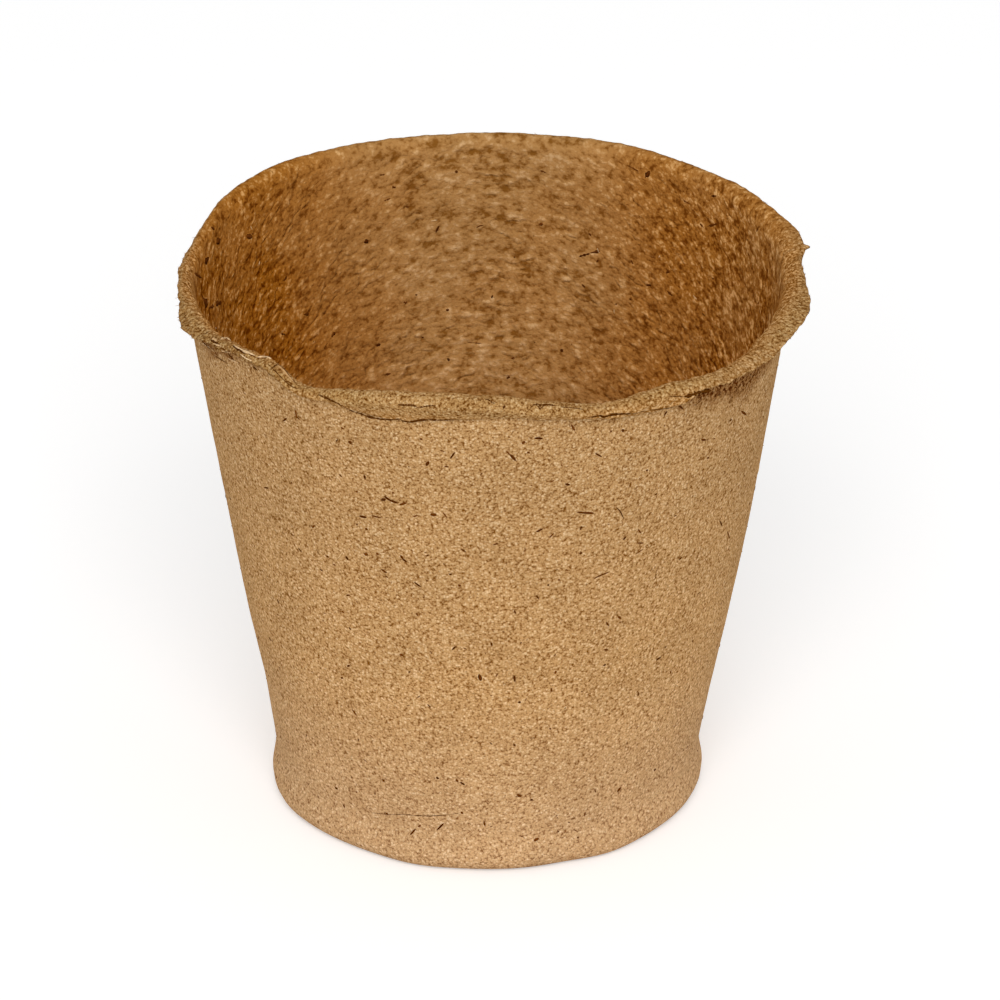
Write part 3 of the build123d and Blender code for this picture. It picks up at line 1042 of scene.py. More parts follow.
# %% Dark chips inside, as seen
inside_marks = [
    (0.42, 455, 171, 458, 172.5), (0.30, 380, 175, 385, 174.5), (0.36, 392, 187, 396, 187.5),
    (0.30, 384, 201, 391, 198), (0.58, 364, 243, 368.5, 240), (0.48, 403.5, 302, 407, 303),
    (0.58, 303.5, 314.5, 309, 314), (0.46, 331.5, 337, 335, 332), (0.46, 375.5, 346, 381, 344),
    (0.40, 384, 375, 391, 373.5), (0.66, 645, 178, 650, 171), (0.56, 538.5, 225, 543, 223.5),
    (0.38, 579, 256.5, 590, 253.5), (0.50, 590, 253, 600, 251), (0.50, 506.5, 378.5, 510, 376.5),
    (0.45, 511, 358.5, 515, 358), (0.30, 628, 165.5, 639, 171.5), (0.30, 540, 170.5, 547, 173),
    (0.46, 666, 273, 669.5, 270.5), (0.30, 631, 260, 633, 264), (0.36, 711, 196, 716.5, 196),
    (0.42, 756.5, 232, 759, 226), (0.36, 667, 291, 673, 296), (0.40, 700, 223.5, 704, 228),
    (0.38, 707, 226.5, 718, 223.5), (0.36, 683.5, 200.5, 690, 204), (0.18, 466, 342, 482, 343.5),
    (1.00, 216, 243, 220.5, 239), (0.60, 211, 227, 214.5, 229.5), (0.90, 204, 263.5, 209, 257.5),
    (0.70, 194, 273, 202, 278), (1.30, 203, 299, 208, 305.5), (0.60, 208, 308, 214, 306),
    (0.90, 215, 304, 221, 302.5), (0.80, 246, 236, 252.5, 237), (0.40, 561, 349, 562.5, 352),
    (0.40, 446, 310.5, 449, 309.5), (0.40, 281, 333.5, 285, 334.5),
]
inside_chips = seen_spindles("inside_chips", inside_marks, 7, 102, ragged=0.6)

# %% [markdown]
# The back gets splinters of the same sizes, strewn at random. In front and inside, finer ones
# join those that were seen, and pale straws lie everywhere.

# %% Strewn splinters and straws
draw = np.random.default_rng(7)
splinter_groups = [
    # number, lengths, heights, azimuths, inside, widths
    (170, (0.5, 3.2), (2, 93), (5, 175), False, (0.16, 0.42)),
    (260, (0.3, 0.9), (2, 93), (180, 360), False, (0.14, 0.26)),
    (150, (0.4, 1.6), (7, 93), (0, 360), True, (0.18, 0.40)),
]
straw_groups = [
    (160, (0.8, 2.6), (2, 95), (0, 360), False, (0.12, 0.22)),
    (40, (0.8, 2.6), (5, 95), (0, 360), True, (0.12, 0.22)),
]
strewn_splinters = strewn_spindles("strewn_splinters", draw, splinter_groups, 103)
straws = strewn_spindles("straws", draw, straw_groups, 104)

# %% [markdown]
# Under the lip in front runs a dark line of painted shadow, a dark spindle laid where the lip was
# pressed against the wall without sticking to it; more painted shadow lines lie in the shade under
# the lip on the left and in a crease at the foot, and shorter cracks cross the lip itself. They are drawn
# as they were seen too.

# %% Cracks and painted shadow lines
# Most of these are painted shadow lines: under the lip's edge where it meets the wall, in the shade under
# the left lip, and in a crease at the foot. A few cross the lip itself as cracks.
crack_and_shadow_paths = [
    (0.16, 268, 364, 276, 372, 283, 379.5, 290, 385.5, 297, 389),
    (0.12, 275, 361.5, 285, 370, 291, 378, 298, 386),
    (0.34, 318, 394.5, 330, 399.5, 340, 404.5, 350, 410),
    (0.34, 346, 408, 352, 411, 360, 413.5, 370, 417, 380, 419, 390, 419.5, 400, 419),
    (0.42, 392, 419.5, 400, 418.8, 405, 421.5, 412, 421.5, 420, 420, 432, 419.4, 440, 420,
     450, 419.8, 458, 419.5),
    (0.36, 398, 404.5, 404, 405, 412, 405, 417, 406.5),
    (0.22, 415, 408, 421, 407, 428, 406, 436, 405.5),
    (0.20, 484, 399, 488, 399.5, 492, 402.5, 495, 403.5),
    (0.28, 532, 405.5, 537, 404, 541, 405.5, 547, 404.5, 557, 406),
    (0.20, 536, 404.5, 540, 409, 544, 405.5),
    (0.14, 560, 407, 572, 408, 584, 409.5),
    (0.32, 586, 418, 594, 416.5, 600, 415.5, 604, 417, 612, 414.5, 622, 413.8, 630, 413.8, 640, 412.5),
    (0.16, 638, 412.5, 650, 410, 662, 409, 674, 407.5),
    (0.14, 667, 396, 676, 396.5, 684, 396.5),
    (0.70, 683, 397, 690, 395.5, 698, 392.5, 706, 391, 711, 390.5),
    (0.34, 202, 340.5, 206, 345, 210, 349),
    (0.40, 211, 340, 214, 342, 218, 343.5),
    (0.34, 221, 348, 226, 350.5),
    (0.40, 233, 346, 239, 350, 245, 354),
    (0.44, 227, 352, 230, 356, 234, 360),
    (0.24, 214, 355, 221, 359.5, 228, 363.5),
    (0.28, 248.5, 353.5, 255, 357),
    (0.40, 253.5, 367, 257, 369.5),
    (0.24, 269, 370.5, 273, 367.5, 278, 363.5),
    (0.14, 371, 812.5, 380, 813.5, 392, 814.5, 404, 814, 416, 815.5, 430, 816, 446, 815, 461, 812.5),
]
cracks_and_painted_shadows = seen_spindles("cracks_and_painted_shadows", crack_and_shadow_paths, 24, 105, thickness=0.12, lift=0.04, ragged=0.7)

# %% [markdown]
# On the left the lip frayed into rags of pale felt. They are thicker spindles, laid on it.

# %% Pale rags of felt on the torn lip
rag_lines = [
    (0.70, 220.5, 340, 224, 338.2, 228, 338.8, 231, 341),
    (0.50, 212, 338.5, 215, 339.5, 217, 341.5),
    (0.36, 203, 343, 206, 345, 210, 347.5),
    (0.34, 211, 348.5, 213, 350, 215, 352),
    (0.34, 221, 350.5, 226, 351.5, 231, 352.5),
    (0.50, 233, 345, 238, 348, 244, 351, 250, 353.5, 256, 356),
    (0.44, 256, 357.5, 262, 357, 268, 357.5, 272, 359.5),
    (0.36, 276, 364, 282, 369, 288, 376, 294, 382.5),
    (0.32, 240, 354, 246, 358, 252, 361),
    (0.30, 228, 358, 233, 360.5, 239, 363),
    (0.34, 213, 343.5, 217, 345, 222, 346.5),
]
rags = seen_spindles("rags", rag_lines, 12, 107, thickness=0.4, lift=0.06, ragged=0.5)

# %% [markdown]
# Along the torn edge loose fibres stick out, most of them where the lip frayed most. They are
# spindles too, but start in the felt and point away from it.

# %% Whiskers on the torn edge
whisker_lengths, whisker_widths = (0.5, 1.3), (0.07, 0.16)


def whisker_paths(draw, count, stations):
    """Short paths that start just inside the torn edge and lead outwards and along it. Of the
    number given, those are kept that fall where the lip frayed."""
    azimuth = draw.uniform(0, 360, count)
    azimuth = azimuth[draw.uniform(0, 1, count) < round_the_rim(fray_column, azimuth) ** 2]
    edge_r, edge_z = torn_edge(azimuth)
    angle = np.radians(azimuth)[:, None]
    spread = draw.normal(0, 1, (2, len(azimuth), 1))
    length = draw.uniform(*whisker_lengths, (len(azimuth), 1))
    run = np.linspace(-0.35, 0.65, stations) * length
    radius = edge_r[:, None] + run * (0.35 + 0.3 * spread[0])
    height = edge_z[:, None] + 0.4 * run * spread[1]
    turned = angle + run * np.where(spread[1] > 0, 0.9, -0.9) / mouth_radius
    paths = np.stack([radius * np.cos(turned), radius * np.sin(turned), height], -1)
    outward = np.stack([0 * radius, 0 * radius, 1 + 0 * radius], -1)
    return paths, outward


whisker_places, whisker_outward = whisker_paths(draw, 420, 6)
widths = draw.uniform(*whisker_widths, len(whisker_places))
whiskers = spindles("whiskers", whisker_places, whisker_outward, widths, 106, thickness=0.1, lift=0.0)
print(len(whiskers.data.polygons), "faces in the whiskers")

# %% [markdown]
# ## Building a material out of nodes
# The script wires a material's nodes itself. Written out link by link, a formula such as
# (tone - 0.5) * contrast + 0.5 would take a dozen lines. So each output of a node is wrapped as
# a wire, and a formula of wires and numbers makes the Math nodes that it stands for. An effect
# that is placed more than once is a node group.

# %% Wires between nodes
class Wire:
    """The output of a node. Each +, -, *, / and abs() in a formula of wires and numbers makes
    one Math node in the wire's own tree of nodes."""

    def __init__(self, socket):
        self.socket = socket
        self.tree = socket.id_data

    def __add__(self, other):
        return maths("ADD", self, other)

    def __sub__(self, other):
        return maths("SUBTRACT", self, other)

    def __rsub__(self, other):
        return maths("SUBTRACT", other, self)

    def __mul__(self, other):
        return maths("MULTIPLY", self, other)

    def __rtruediv__(self, other):
        return maths("DIVIDE", other, self)

    def __truediv__(self, other):
        return maths("DIVIDE", self, other)

    def __abs__(self):
        return maths("ABSOLUTE", self)


def put(socket, value):
    """Links a socket to a wire, or sets it to a constant."""
    if isinstance(value, Wire):
        value.tree.links.new(value.socket, socket)
    else:
        socket.default_value = value


def node(tree, kind, values=None, **settings):
    """A node of a kind, with its settings and its input values, by name or number."""
    made = tree.nodes.new(kind)
    for name, value in settings.items():
        setattr(made, name, value)
    for key, value in (values or {}).items():
        put(made.inputs[key], value)
    return made


def maths(operation, *values):
    """The output of a Math node, in the tree of the first wire among its values."""
    tree = next(value.tree for value in values if isinstance(value, Wire))
    return Wire(node(tree, "ShaderNodeMath", dict(enumerate(values)), operation=operation).outputs[0])


print("formulas of wires are ready")

# %% [markdown]
# The next helpers stand for one kind of node each and return its output as a wire.

# %% Helpers for vectors, patterns and mixtures
def vectors(operation, first, second):
    """The output of a Vector Math node: a vector, or a number for a dot product."""
    values = {0: first, "Scale" if operation == "SCALE" else 1: second}
    made = node(first.tree, "ShaderNodeVectorMath", values, operation=operation)
    return Wire(made.outputs["Value" if operation == "DOT_PRODUCT" else "Vector"])


def ramp(value, low, high, start=0.0, end=1.0):
    """A value carried smoothly from one range to another, and held at its ends."""
    values = {"Value": value, "From Min": low, "From Max": high, "To Min": start, "To Max": end}
    made = node(value.tree, "ShaderNodeMapRange", values, interpolation_type="SMOOTHSTEP")
    return Wire(made.outputs["Result"])


def noise(place, scale, detail, roughness=0.5):
    """Smooth noise of about 0.5, in bumps of about one over the scale."""
    values = {"Vector": place, "Scale": scale, "Detail": detail, "Roughness": roughness}
    return Wire(node(place.tree, "ShaderNodeTexNoise", values).outputs["Fac"])


def cells(place, scale, **settings):
    """Outputs of a cell pattern, and the three random values of its cells as wires by name."""
    pattern = node(place.tree, "ShaderNodeTexVoronoi", {"Vector": place, "Scale": scale},
                   feature="F1", **settings).outputs
    random = node(place.tree, "ShaderNodeSeparateColor", {"Color": Wire(pattern["Color"])}).outputs
    return pattern, {name: Wire(random[name]) for name in ("Red", "Green", "Blue")}


def number_mix(share, first, second):
    """Number between two others by a share."""
    values = {0: share, 2: first, 3: second}
    return Wire(node(share.tree, "ShaderNodeMix", values, data_type="FLOAT").outputs[0])


def colour_mix(share, first, second, blend="MIX"):
    """Colour between two others by a share."""
    values = {0: share, 6: first, 7: second}
    return Wire(node(share.tree, "ShaderNodeMix", values, data_type="RGBA", blend_type=blend).outputs[2])


def tinted(share, colour, tint):
    """A colour multiplied by another, channel by channel, as far as the share says."""
    return colour_mix(share, colour, tint, "MULTIPLY")


def brighter(colour, factor, saturation=1.0):
    """A colour made brighter or darker, and more or less vivid, by factors that change over
    the surface."""
    values = {"Color": colour, "Saturation": saturation, "Value": factor}
    return Wire(node(colour.tree, "ShaderNodeHueSaturation", values).outputs[0])


print("patterns and mixtures are ready")

# %% [markdown]
# The last ones begin and end a material, so that what is the same in all of them is written
# once: the place in millimetres at its start, and a matt surface with bumps at its end.

# %% Helpers for node groups and materials
def new_group(name, inputs, outputs):
    """An empty node group, its inputs as wires by name, and the sockets that it puts out."""
    group = bpy.data.node_groups.new(name, "ShaderNodeTree")
    for label, kind in inputs.items():
        group.interface.new_socket(label, in_out="INPUT", socket_type="NodeSocket" + kind)
    for label in outputs:
        group.interface.new_socket(label, in_out="OUTPUT", socket_type="NodeSocketFloat")
    given = group.nodes.new("NodeGroupInput").outputs
    results = group.nodes.new("NodeGroupOutput").inputs
    return group, {label: Wire(given[label]) for label in inputs}, results


def place_group(tree, group, values):
    """The outputs, as wires by name, of a node group placed with its own values."""
    made = node(tree, "ShaderNodeGroup", values, node_tree=group)
    return {socket.name: Wire(socket) for socket in made.outputs}


def cleared_tree(owner):
    """The tree of nodes of a new material or world, without the nodes that it starts with."""
    owner.use_nodes = True
    owner.node_tree.nodes.clear()
    return owner.node_tree


def new_material(name):
    """A new material, and the place on the piece in millimetres as a wire in its tree."""
    material = bpy.data.materials.new(name)
    coordinates = node(cleared_tree(material), "ShaderNodeTexCoord").outputs
    return material, vectors("SCALE", Wire(coordinates["Object"]), 1 / MM)


def matt_surface(colour, height, depth, strength, roughness):
    """The end of a material: a surface that doesn't shine, with its colour, its roughness and
    bumps of a depth in millimetres."""
    bump = node(colour.tree, "ShaderNodeBump",
                {"Height": height, "Distance": depth * MM, "Strength": strength})
    shader = node(colour.tree, "ShaderNodeBsdfPrincipled",
                  {"Base Color": colour, "Normal": Wire(bump.outputs[0]),
                   "Roughness": roughness, "Specular IOR Level": 0.0})
    node(colour.tree, "ShaderNodeOutputMaterial", {"Surface": Wire(shader.outputs[0])})


def attribute(tree, name):
    """The value that a piece carries on its points under a name."""
    return Wire(node(tree, "ShaderNodeAttribute", attribute_name=name).outputs["Fac"])


print("node groups and materials are ready")

# %% [markdown]
# ### Grain of the felt
# Seen close up, dried pulp is made of grains of about half a millimetre, each a little paler or
# darker than the next, with thin shadows between them and a few dark crumbs. One group makes
# that from a cell pattern, where each cell has a tone of its own, and from three noises. It
# gives a height for the bumps, a tone for the colour, both about 0.5, and a mask of the crumbs.

# %% Node group for grain
border_from, border_to = 0.35, 0.8      # distance from a grain's middle where its shadow lies
own_share, border_share = 0.27, 0.16    # how far a grain's own tone and its shadow shift the tone
border_depth = 0.5                      # how far the height falls between two grains
fine_crumbs = 0.8                       # how dark the finest crumbs are, beside the others


def build_grain():
    """Height, tone and crumbs of pulp, from a place in millimetres and the size of a grain."""
    group, given, results = new_group("felt_grain", {"Place": "Vector", "Size": "Float"},
                                      ("Height", "Tone", "Crumb"))
    place = vectors("SCALE", given["Place"], 1.0 / given["Size"])
    pattern, random = cells(place, 1.0)
    border = ramp(Wire(pattern["Distance"]), border_from, border_to)
    rough = noise(place, 0.8, 3.0, 0.65)
    put(results["Height"], rough - border * border_depth)
    put(results["Tone"], rough - 0.09 + random["Red"] * own_share - border * border_share)
    scattered = ramp(noise(place, 0.5, 1.5, 0.6), 0.69, 0.76)
    dots = ramp(noise(place, 1.25, 1.0), 0.62, 0.74, 0.0, fine_crumbs)
    put(results["Crumb"], maths("MAXIMUM", scattered, dots))
    return group


felt_grain = build_grain()
print("grain group has", len(felt_grain.nodes), "nodes")

# %% [markdown]
# ### Slender fibres in the felt
# Splinters of dark wood and pale straw lie in the surface in all directions. On the unrolled
# felt each cell of a cell pattern gets one fibre: its direction and its bow come from the
# cell's own random colour, and a place is on the fibre if it is close to its line and not past
# its end. A third random value drops most of them.

# %% Node group for fibres
strongest_bow = 0.5       # difference in bend between the two most bowed fibres


def build_flecks():
    """Mask of short slender fibres, one to a cell, on a flat map in millimetres."""
    kinds = {"Map": "Vector", "Cell": "Float", "Length": "Float", "Width": "Float", "Chance": "Float"}
    group, given, results = new_group("felt_flecks", kinds, ("Mask",))
    pattern, random = cells(given["Map"], 1.0 / given["Cell"], voronoi_dimensions="2D")
    away = vectors("SUBTRACT", given["Map"], Wire(pattern["Position"]))
    angle = random["Red"] * (2 * math.pi)
    cosine, sine = maths("COSINE", angle), maths("SINE", angle)
    direction = Wire(node(group, "ShaderNodeCombineXYZ", {"X": cosine, "Y": sine}).outputs[0])
    side = Wire(node(group, "ShaderNodeCombineXYZ", {"X": sine * -1.0, "Y": cosine}).outputs[0])
    along = vectors("DOT_PRODUCT", away, direction)
    bent = along * along * ((random["Green"] - 0.5) * strongest_bow)
    across = abs(vectors("DOT_PRODUCT", away, side) + bent)
    not_past_end = ramp(abs(along) / (given["Length"] * 0.5), 0.75, 1.0, 1.0, 0.0)
    near_line = ramp(across / given["Width"], 0.25, 0.75, 1.0, 0.0)
    kept = maths("LESS_THAN", random["Blue"], given["Chance"])
    put(results["Mask"], not_past_end * near_line * kept)
    return group


felt_flecks = build_flecks()
print("fibre group has", len(felt_flecks.nodes), "nodes")

# %% [markdown]
# ### The felt itself
# Outside the felt is a warm light brown; inside it is a little deeper and coarser, and at the
# sides it is painted deepest, as painted shade. The colours are given as they look on a screen in
# plain light, and the grain's tone pulls the felt from dark over brown to straw.

# %% Colours of the felt
def linear(red, green, blue):
    """A colour given as it looks on a screen, 0 to 255, in the renderer's linear values."""
    share = np.array([red, green, blue]) / 255
    value = np.where(share <= 0.04045, share / 12.92, ((share + 0.055) / 1.055) ** 2.4)
    return (*value.tolist(), 1.0)


felt_dark, felt_brown, felt_straw = linear(118, 70, 20), linear(197, 153, 101), linear(236, 201, 156)
inside_dark, inside_brown, inside_straw = linear(133, 85, 31), linear(180, 133, 78), linear(216, 175, 124)
# Colours of the painted side shade inside.
side_shade_dark, side_shade_brown, side_shade_straw = linear(104, 48, 0), linear(164, 101, 27), linear(222, 166, 98)
fibre_dark, fibre_brown, fibre_pale = linear(74, 32, 4), linear(112, 60, 18), linear(222, 186, 132)
# Colours of the cracks and of the painted shadow lines.
crack_and_shadow_dark, crack_and_shadow_brown = linear(76, 38, 4), linear(102, 58, 16)
crumb_brown = linear(98, 58, 26)
# Dark crumbs of broken felt at the torn edge, and specks of painted shade under the lip.
crumb_and_shade_brown = linear(78, 36, 0)
lip_painted_shade_tint = (0.78, 0.73, 0.58, 1.0)       # factors for red, green and blue of the painted shade on the lip, of the mild painted shade under it, and of the deepest painted shade there
mild_shade_tint = (0.93, 0.82, 0.66, 1.0)      # on the dust under it,
shade_tint = (0.21, 0.085, 0.006, 1.0)   # and in the deepest shade


def tone_colours(tone, colours, low, high):
    """Colour of a tone, out of three: the first below the low tone, the second at 0.5 and the
    third above the high tone."""
    dark, middle, light = colours
    lower = colour_mix(ramp(tone, low, 0.5), dark, middle)
    return colour_mix(ramp(tone, 0.5, high), lower, light)


print("brown of the felt:", np.round(felt_brown, 3))

# %% [markdown]
# Where a spot lies on the pot decides most of its look. So the values that the points carry,
# and the place itself, are gathered once and handed to each part of the material. Outside, the
# foot has a more even grain than the wall above it, the wall is painted brighter towards the foot
# and darker towards the rim, as painted light thrown up from the white floor, and the lip has the
# clearest grain.

# %% Felt outside
outer_grain = 0.41        # size of a grain outside, in millimetres
outer_ends = 0.21, 0.79   # tones that are wholly dark and wholly straw
foot_contrast, wall_contrast, lip_contrast = 0.75, 0.90, 1.1
# Painted light: how bright the felt is painted at the foot and at the rim.
foot_painted_light, rim_painted_light = 1.11, 0.925


def felt_spots(place):
    """The values on the points, the place, and its distance to the right and up, by name."""
    spots = {name: attribute(place.tree, name) for name in felt_values}
    aside, _, height = node(place.tree, "ShaderNodeSeparateXYZ", {"Vector": place}).outputs
    return {**spots, "place": place, "aside": Wire(aside), "height": Wire(height)}


def outer_felt(at, grain):
    """Colour outside, from the tone of the grain: its contrast about 0.5 grows from the foot
    upwards, and on the lip. It is painted brighter towards the foot, as painted light thrown up
    from the white floor, and a little less vivid there."""
    off_lip = ramp(at["height"], 0.0, 50.0, foot_contrast, wall_contrast)
    contrast = number_mix(at["lip"], off_lip, lip_contrast)
    tone = (grain["Tone"] - 0.5) * contrast + 0.5
    colour = tone_colours(tone, (felt_dark, felt_brown, felt_straw), *outer_ends)
    # Painted light: brighter towards the foot, darker towards the rim.
    light = ramp(at["height"], 0.0, 95.0, foot_painted_light, rim_painted_light)
    return brighter(colour, light, ramp(at["height"], 0.0, 45.0, 0.92, 1.01))


print("a grain outside is", outer_grain, "mm wide")

# %% [markdown]
# Inside, the pulp dried in lumps along the folds. The pattern is read on coordinates that are
# turned until the folds lie level, and squeezed across them. Blotches as wide as a lump and
# the grain share the tone; thin wrinkles and the hollows between lumps darken it, as painted shade.

# %% Felt inside
inner_grain = 0.66        # size of a grain inside, in millimetres
grain_squeeze = 0.8       # how narrow the grain is across the folds, for a length of 1
lump_squeeze = 0.48       # and how narrow the lumps are
inner_middle = 0.42       # tone about which the contrast changes from left to right
inner_ends = 0.20, 0.83   # tones that are wholly dark and wholly straw
side_shade_ends = 0.18, 0.78    # the same in the painted side shade
torn_contrast = 1.7       # of the grain, on the lip's inner side
# Painted shade: how much the wrinkles and the hollows darken the tone.
wrinkle_painted_shade, hollow_painted_shade = 0.07, 0.10


def across_folds(place, squeeze):
    """The place turned until the folds lie level, for a pattern that is squeezed across them."""
    values = {"Vector": place, "Rotation": (fold_tilt, 0, 0), "Scale": (1, 1, squeeze)}
    return Wire(node(place.tree, "ShaderNodeMapping", values, vector_type="TEXTURE").outputs[0])


def inner_tone(at, grain):
    """Tone inside, and the blotches and wrinkles in it, which shape the bumps too.

    The tone is the sum of the grain's tone and the blotches, each with a weight that grows
    with the painted side shade, less an offset and the painted shade of the wrinkles and the
    hollows. Its contrast is low on the left and high on the right, as the light fell there.
    """
    # The value named depth is the painted side shade.
    depth, drawn_out = at["depth"], across_folds(at["place"], lump_squeeze)
    blotch = number_mix(depth, noise(drawn_out, 0.48, 2.0), noise(drawn_out, 0.44, 3.0, 0.68))
    line = ramp(abs(noise(drawn_out, 0.24, 1.0) - 0.5), 0.0, 0.12, 1.0, 0.0)
    wrinkle = line * ramp(noise(at["place"], 0.12, 1.0), 0.42, 0.58)
    weighted = grain["Tone"] * number_mix(depth, 0.42, 0.66) + blotch * number_mix(depth, 1.1, 1.6)
    tone = weighted - number_mix(depth, 0.27, 0.63) - wrinkle * wrinkle_painted_shade - at["hollow"] * hollow_painted_shade
    contrast = ramp(at["aside"], -30.0, 0.0, 0.86, 1.03) * ramp(at["aside"], 32.0, 44.0, 1.0, 1.22)
    return (tone - inner_middle) * contrast + inner_middle, blotch, wrinkle


def inner_felt(at, outer, tone):
    """Colour inside, deeper where the painted side shade says, and on the lip with the outside's grain.
    Lower down it is painted brighter, as painted light that reaches deep into the cup.
    """
    tone = number_mix(at["lip"], tone, (outer["Tone"] - 0.5) * torn_contrast + 0.5)
    plain = tone_colours(tone, (inside_dark, inside_brown, inside_straw), *inner_ends)
    side_shaded = tone_colours(tone, (side_shade_dark, side_shade_brown, side_shade_straw), *side_shade_ends)
    # Painted light: the inside is painted brighter lower down.
    return brighter(colour_mix(at["depth"], plain, side_shaded), ramp(at["height"], 50.0, 98.0, 1.19, 1.0))


print("a grain inside is", inner_grain, "mm wide")

# %% [markdown]
# At the torn edge the felt broke open, so light and dark bits lie side by side. The front of
# the lip is painted darker, as painted shade, crumbs show where it frayed, and under it lies painted
# shade: a mild tint over all of it and a deep, uneven one.

# %% Felt on the lip and under it
speck_share = 0.52        # how much a dark crumb hides of the felt, and a speck of painted shade
shade_plain, shade_frayed = (1.0, 0.32), (0.8, 0.04)   # darkest and palest painted shade, plain and frayed


def torn_felt(at, colour):
    """The colour with all that tearing did to it, with the painted shade on and under the lip, and the
    raggedness of the torn edge.
    """
    broken = noise(at["place"], 1.5, 3.0, 0.6)
    torn = ramp(abs(at["zone"] - 1.0), 0.1, 0.5, 1.0, 0.0)
    colour = brighter(colour, torn * ramp(broken, 0.3, 0.7, -0.16, 0.10) + 1.0)
    # Painted shade: the front of the lip is darkened by its tint.
    colour = tinted(at["lip"] * (1.0 - at["inside"]), colour, lip_painted_shade_tint)
    # Dark crumbs where the lip frayed; under the lip they are specks of painted shade.
    colour = colour_mix(ramp(broken, 0.50, 0.60) * at["frayed_and_shaded"] * speck_share, colour, crumb_and_shade_brown)
    darkest, palest = (number_mix(at["frayed_and_shaded"], *pair) for pair in zip(shade_plain, shade_frayed))
    spread = ramp(noise(at["place"], 1.5, 2.0, 0.7), 0.44, 0.53)
    # Painted shade under the lip: a mild tint over all of it, and a deep, uneven one.
    colour = tinted(at["shade"], colour, mild_shade_tint)
    colour = tinted(at["shade"] * number_mix(spread, darkest, palest), colour, shade_tint)
    return colour, broken * torn


print("a crumb hides", speck_share, "of the felt under it")

# %% [markdown]
# Now the parts come together. A slow mottling shifts the colour by the centimetre, crumbs and
# pale straws are laid over it, and all of them add to the bumps. Felt doesn't shine, so its
# roughness stays high everywhere and follows the grain only a little.

# %% Material of the felt
bump_depth, bump_strength = 0.22, 0.85
crumb_share, crumbs_inside = 0.6, 0.12
straw_outside, straw_inside = 0.14, 0.03   # how much a straw hides of the felt
straw_sizes = {"Cell": 3.2, "Length": 1.8, "Width": 0.30, "Chance": 0.4}
bumps = {"grain": 0.6, "blotch": 1.7, "wrinkle": 0.9, "torn": 1.5, "straw": 0.15}


def felt_material():
    """Pressed peat and wood fibre."""
    material, place = new_material("pressed_felt")
    tree, at = place.tree, felt_spots(place)
    outer = place_group(tree, felt_grain, {"Place": place, "Size": outer_grain})
    squeezed = across_folds(place, grain_squeeze)
    inner = place_group(tree, felt_grain, {"Place": squeezed, "Size": inner_grain})
    tone, blotch, wrinkle = inner_tone(at, inner)
    colour = colour_mix(at["inside"], outer_felt(at, outer), inner_felt(at, outer, tone))
    colour = brighter(colour, ramp(noise(place, 0.09, 3.0), 0.3, 0.7, 0.96, 1.04))
    crumb = number_mix(at["inside"], outer["Crumb"], inner["Crumb"] * crumbs_inside)
    colour = colour_mix(crumb * crumb_share, colour, crumb_brown)
    colour, ragged = torn_felt(at, colour)
    unrolled = Wire(node(tree, "ShaderNodeUVMap", uv_map="unrolled").outputs["UV"])
    straw = place_group(tree, felt_flecks, {"Map": unrolled, **straw_sizes})["Mask"]
    colour = colour_mix(straw * number_mix(at["inside"], straw_outside, straw_inside), colour, fibre_pale)
    lumpy = inner["Height"] * bumps["grain"] + blotch * bumps["blotch"] - wrinkle * bumps["wrinkle"]
    height = number_mix(at["inside"], outer["Height"], lumpy)
    height = height + ragged * bumps["torn"] + straw * bumps["straw"]
    roughness = ramp(outer["Tone"], 0.2, 0.8, 0.97, 0.88)
    matt_surface(colour, height, bump_depth, bump_strength, roughness)
    return material


pressed_felt = felt_material()
felt_pot.data.materials.append(pressed_felt)
print("felt material has", len(pressed_felt.node_tree.nodes), "nodes")

# %% [markdown]
# The splinters, the cracks and painted shadow lines, the rags and the loose fibres share one
# simple material, each with its own colours: every spindle has a random value of its own, which
# sets it between two colours, and fine streaks run through all of them.

# %% Material of the fibres
def fibre_material(name, one, other, roughness):
    """Wood fibre: each spindle has its own colour between two, with fine streaks."""
    material, place = new_material(name)
    streak = noise(place, 4.0, 2.0)
    colour = colour_mix(attribute(place.tree, "own"), one, other)
    colour = brighter(colour, ramp(streak, 0.3, 0.7, 0.8, 1.15))
    matt_surface(colour, streak, 0.05, 0.6, roughness)
    return material


fibre_finishes = [
    ("dark_wood", fibre_dark, fibre_brown, 0.85, (outside_splinters, inside_chips, strewn_splinters)),
    ("pale_straw", fibre_pale, felt_straw, 0.8, (straws,)),
    ("loose_fibre", felt_dark, felt_brown, 0.9, (whiskers,)),
    ("torn_felt", felt_brown, felt_straw, 0.9, (rags,)),
    ("crack_and_painted_shadow", crack_and_shadow_dark, crack_and_shadow_brown, 0.97, (cracks_and_painted_shadows,)),
]
for name, one, other, roughness, pieces in fibre_finishes:
    finish = fibre_material(name, one, other, roughness)
    for piece in pieces:
        piece.data.materials.append(finish)
print(len(fibre_finishes), "finishes for the fibres")

# %% [markdown]
# ## Floor, light and camera
# The pot stands on a plain white floor. A white sky lights it from all sides, more from the
# sides than from overhead, as in a room with pale walls, and one large soft lamp adds light
# from in front, a little above the camera. The floor and the sky show white to the camera,
# without throwing more light on the pot, and the floor still takes the pot's soft shadow.

# %% Floor
def seen_directly(tree):
    """1 for rays from the camera, from a reflection or through glass, and 0 for the others."""
    path = node(tree, "ShaderNodeLightPath").outputs
    camera_or_glossy = maths("MAXIMUM", Wire(path["Is Camera Ray"]), Wire(path["Is Glossy Ray"]))
    return maths("MAXIMUM", camera_or_glossy, Wire(path["Is Transmission Ray"]))


floor_half = 3.0          # half the side of the floor, in metres
floor_lift = 0.34         # how much whiter than its own diffuse light the floor is seen
floor_grey = 0.85

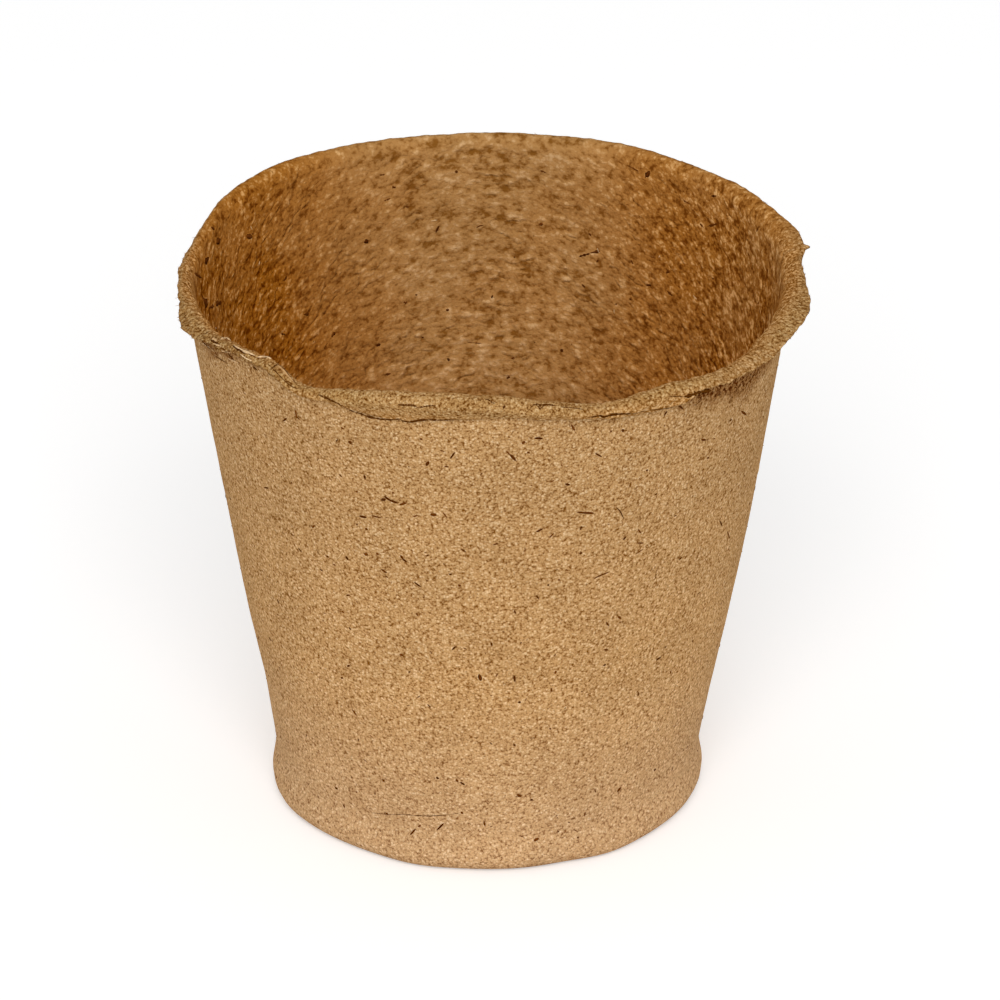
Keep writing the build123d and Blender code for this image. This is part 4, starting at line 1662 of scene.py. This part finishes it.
floor_sheet = bpy.data.meshes.new("floor")
floor_corners = [(x * floor_half, y * floor_half, 0) for x, y in ((-1, -1), (1, -1), (1, 1), (-1, 1))]
floor_sheet.from_pydata(floor_corners, [], [(0, 1, 2, 3)])
floor = bpy.data.objects.new("floor", floor_sheet)
bpy.context.scene.collection.objects.link(floor)

white_floor = bpy.data.materials.new("white_floor")
tree = cleared_tree(white_floor)
matt = node(tree, "ShaderNodeBsdfDiffuse", {"Color": (floor_grey, floor_grey, floor_grey, 1.0)})
lift = seen_directly(tree) * floor_lift
glow = node(tree, "ShaderNodeEmission", {"Color": (1, 1, 1, 1), "Strength": lift})
both = node(tree, "ShaderNodeAddShader", {0: Wire(matt.outputs[0]), 1: Wire(glow.outputs[0])})
node(tree, "ShaderNodeOutputMaterial", {"Surface": Wire(both.outputs[0])})
floor_sheet.materials.append(white_floor)
print("the floor is", 2 * floor_half, "m wide")

# %% [markdown]
# The sky's light on the pot falls off from the horizon to overhead. The lamp's power follows
# from the light that it is to give where the pot stands.

# %% Sky and lamp
side_level = 0.97         # light of the sky near the horizon on the object
zenith_level = 0.38       # and overhead
lamp_level = 0.52         # light that the lamp adds on a surface turned to it
lamp_side = 1.2           # side of the square lamp, in metres
lamp_distance = 2.4       # from the point that it faces, in metres
lamp_target = 0.05        # height of that point on the pot's axis, in metres
lamp_elevation = math.radians(40)
lamp_azimuth = math.radians(-90)

sky = bpy.data.worlds.new("white_sky")
bpy.context.scene.world = sky
tree = cleared_tree(sky)
skyward = Wire(node(tree, "ShaderNodeTexCoord").outputs["Generated"])
upward = Wire(node(tree, "ShaderNodeSeparateXYZ", {"Vector": skyward}).outputs["Z"])
sky_level = ramp(upward, 0.1, 0.9, side_level, zenith_level)
strength = number_mix(seen_directly(tree), sky_level, 1.0)
white = node(tree, "ShaderNodeBackground", {"Color": (1, 1, 1, 1), "Strength": strength})
node(tree, "ShaderNodeOutputWorld", {"Surface": Wire(white.outputs[0])})

lamp_data = bpy.data.lights.new("soft_lamp", "AREA")
lamp_data.size = lamp_side
lamp_data.energy = lamp_level * (math.pi * lamp_distance) ** 2
lamp = bpy.data.objects.new("soft_lamp", lamp_data)
bpy.context.scene.collection.objects.link(lamp)
level_distance = lamp_distance * math.cos(lamp_elevation)
lamp.location = (level_distance * math.cos(lamp_azimuth), level_distance * math.sin(lamp_azimuth),
                 lamp_target + lamp_distance * math.sin(lamp_elevation))
lamp.rotation_euler = (math.pi / 2 - lamp_elevation, 0, lamp_azimuth + math.pi / 2)
print(f"lamp of {lamp_data.energy:.1f} W at {lamp_distance} m")

# %% [markdown]
# The camera goes where the lines of sight start, now in metres.

# %% Camera
camera_data = bpy.data.cameras.new("camera")
camera_data.sensor_fit = "HORIZONTAL"
camera_data.sensor_width = sensor_width
camera_data.lens = focal_length
camera_data.clip_end = 50  # metres, well past the floor
camera = bpy.data.objects.new("camera", camera_data)
bpy.context.scene.collection.objects.link(camera)
camera.location = camera_place * MM
camera.rotation_euler = (math.pi / 2 - camera_elevation, 0, 0)
bpy.context.scene.camera = camera
bpy.context.scene.view_settings.view_transform = "Standard"
print(f"the camera is {camera_distance * MM:.2f} m away, {math.degrees(camera_elevation):.0f} degrees up")
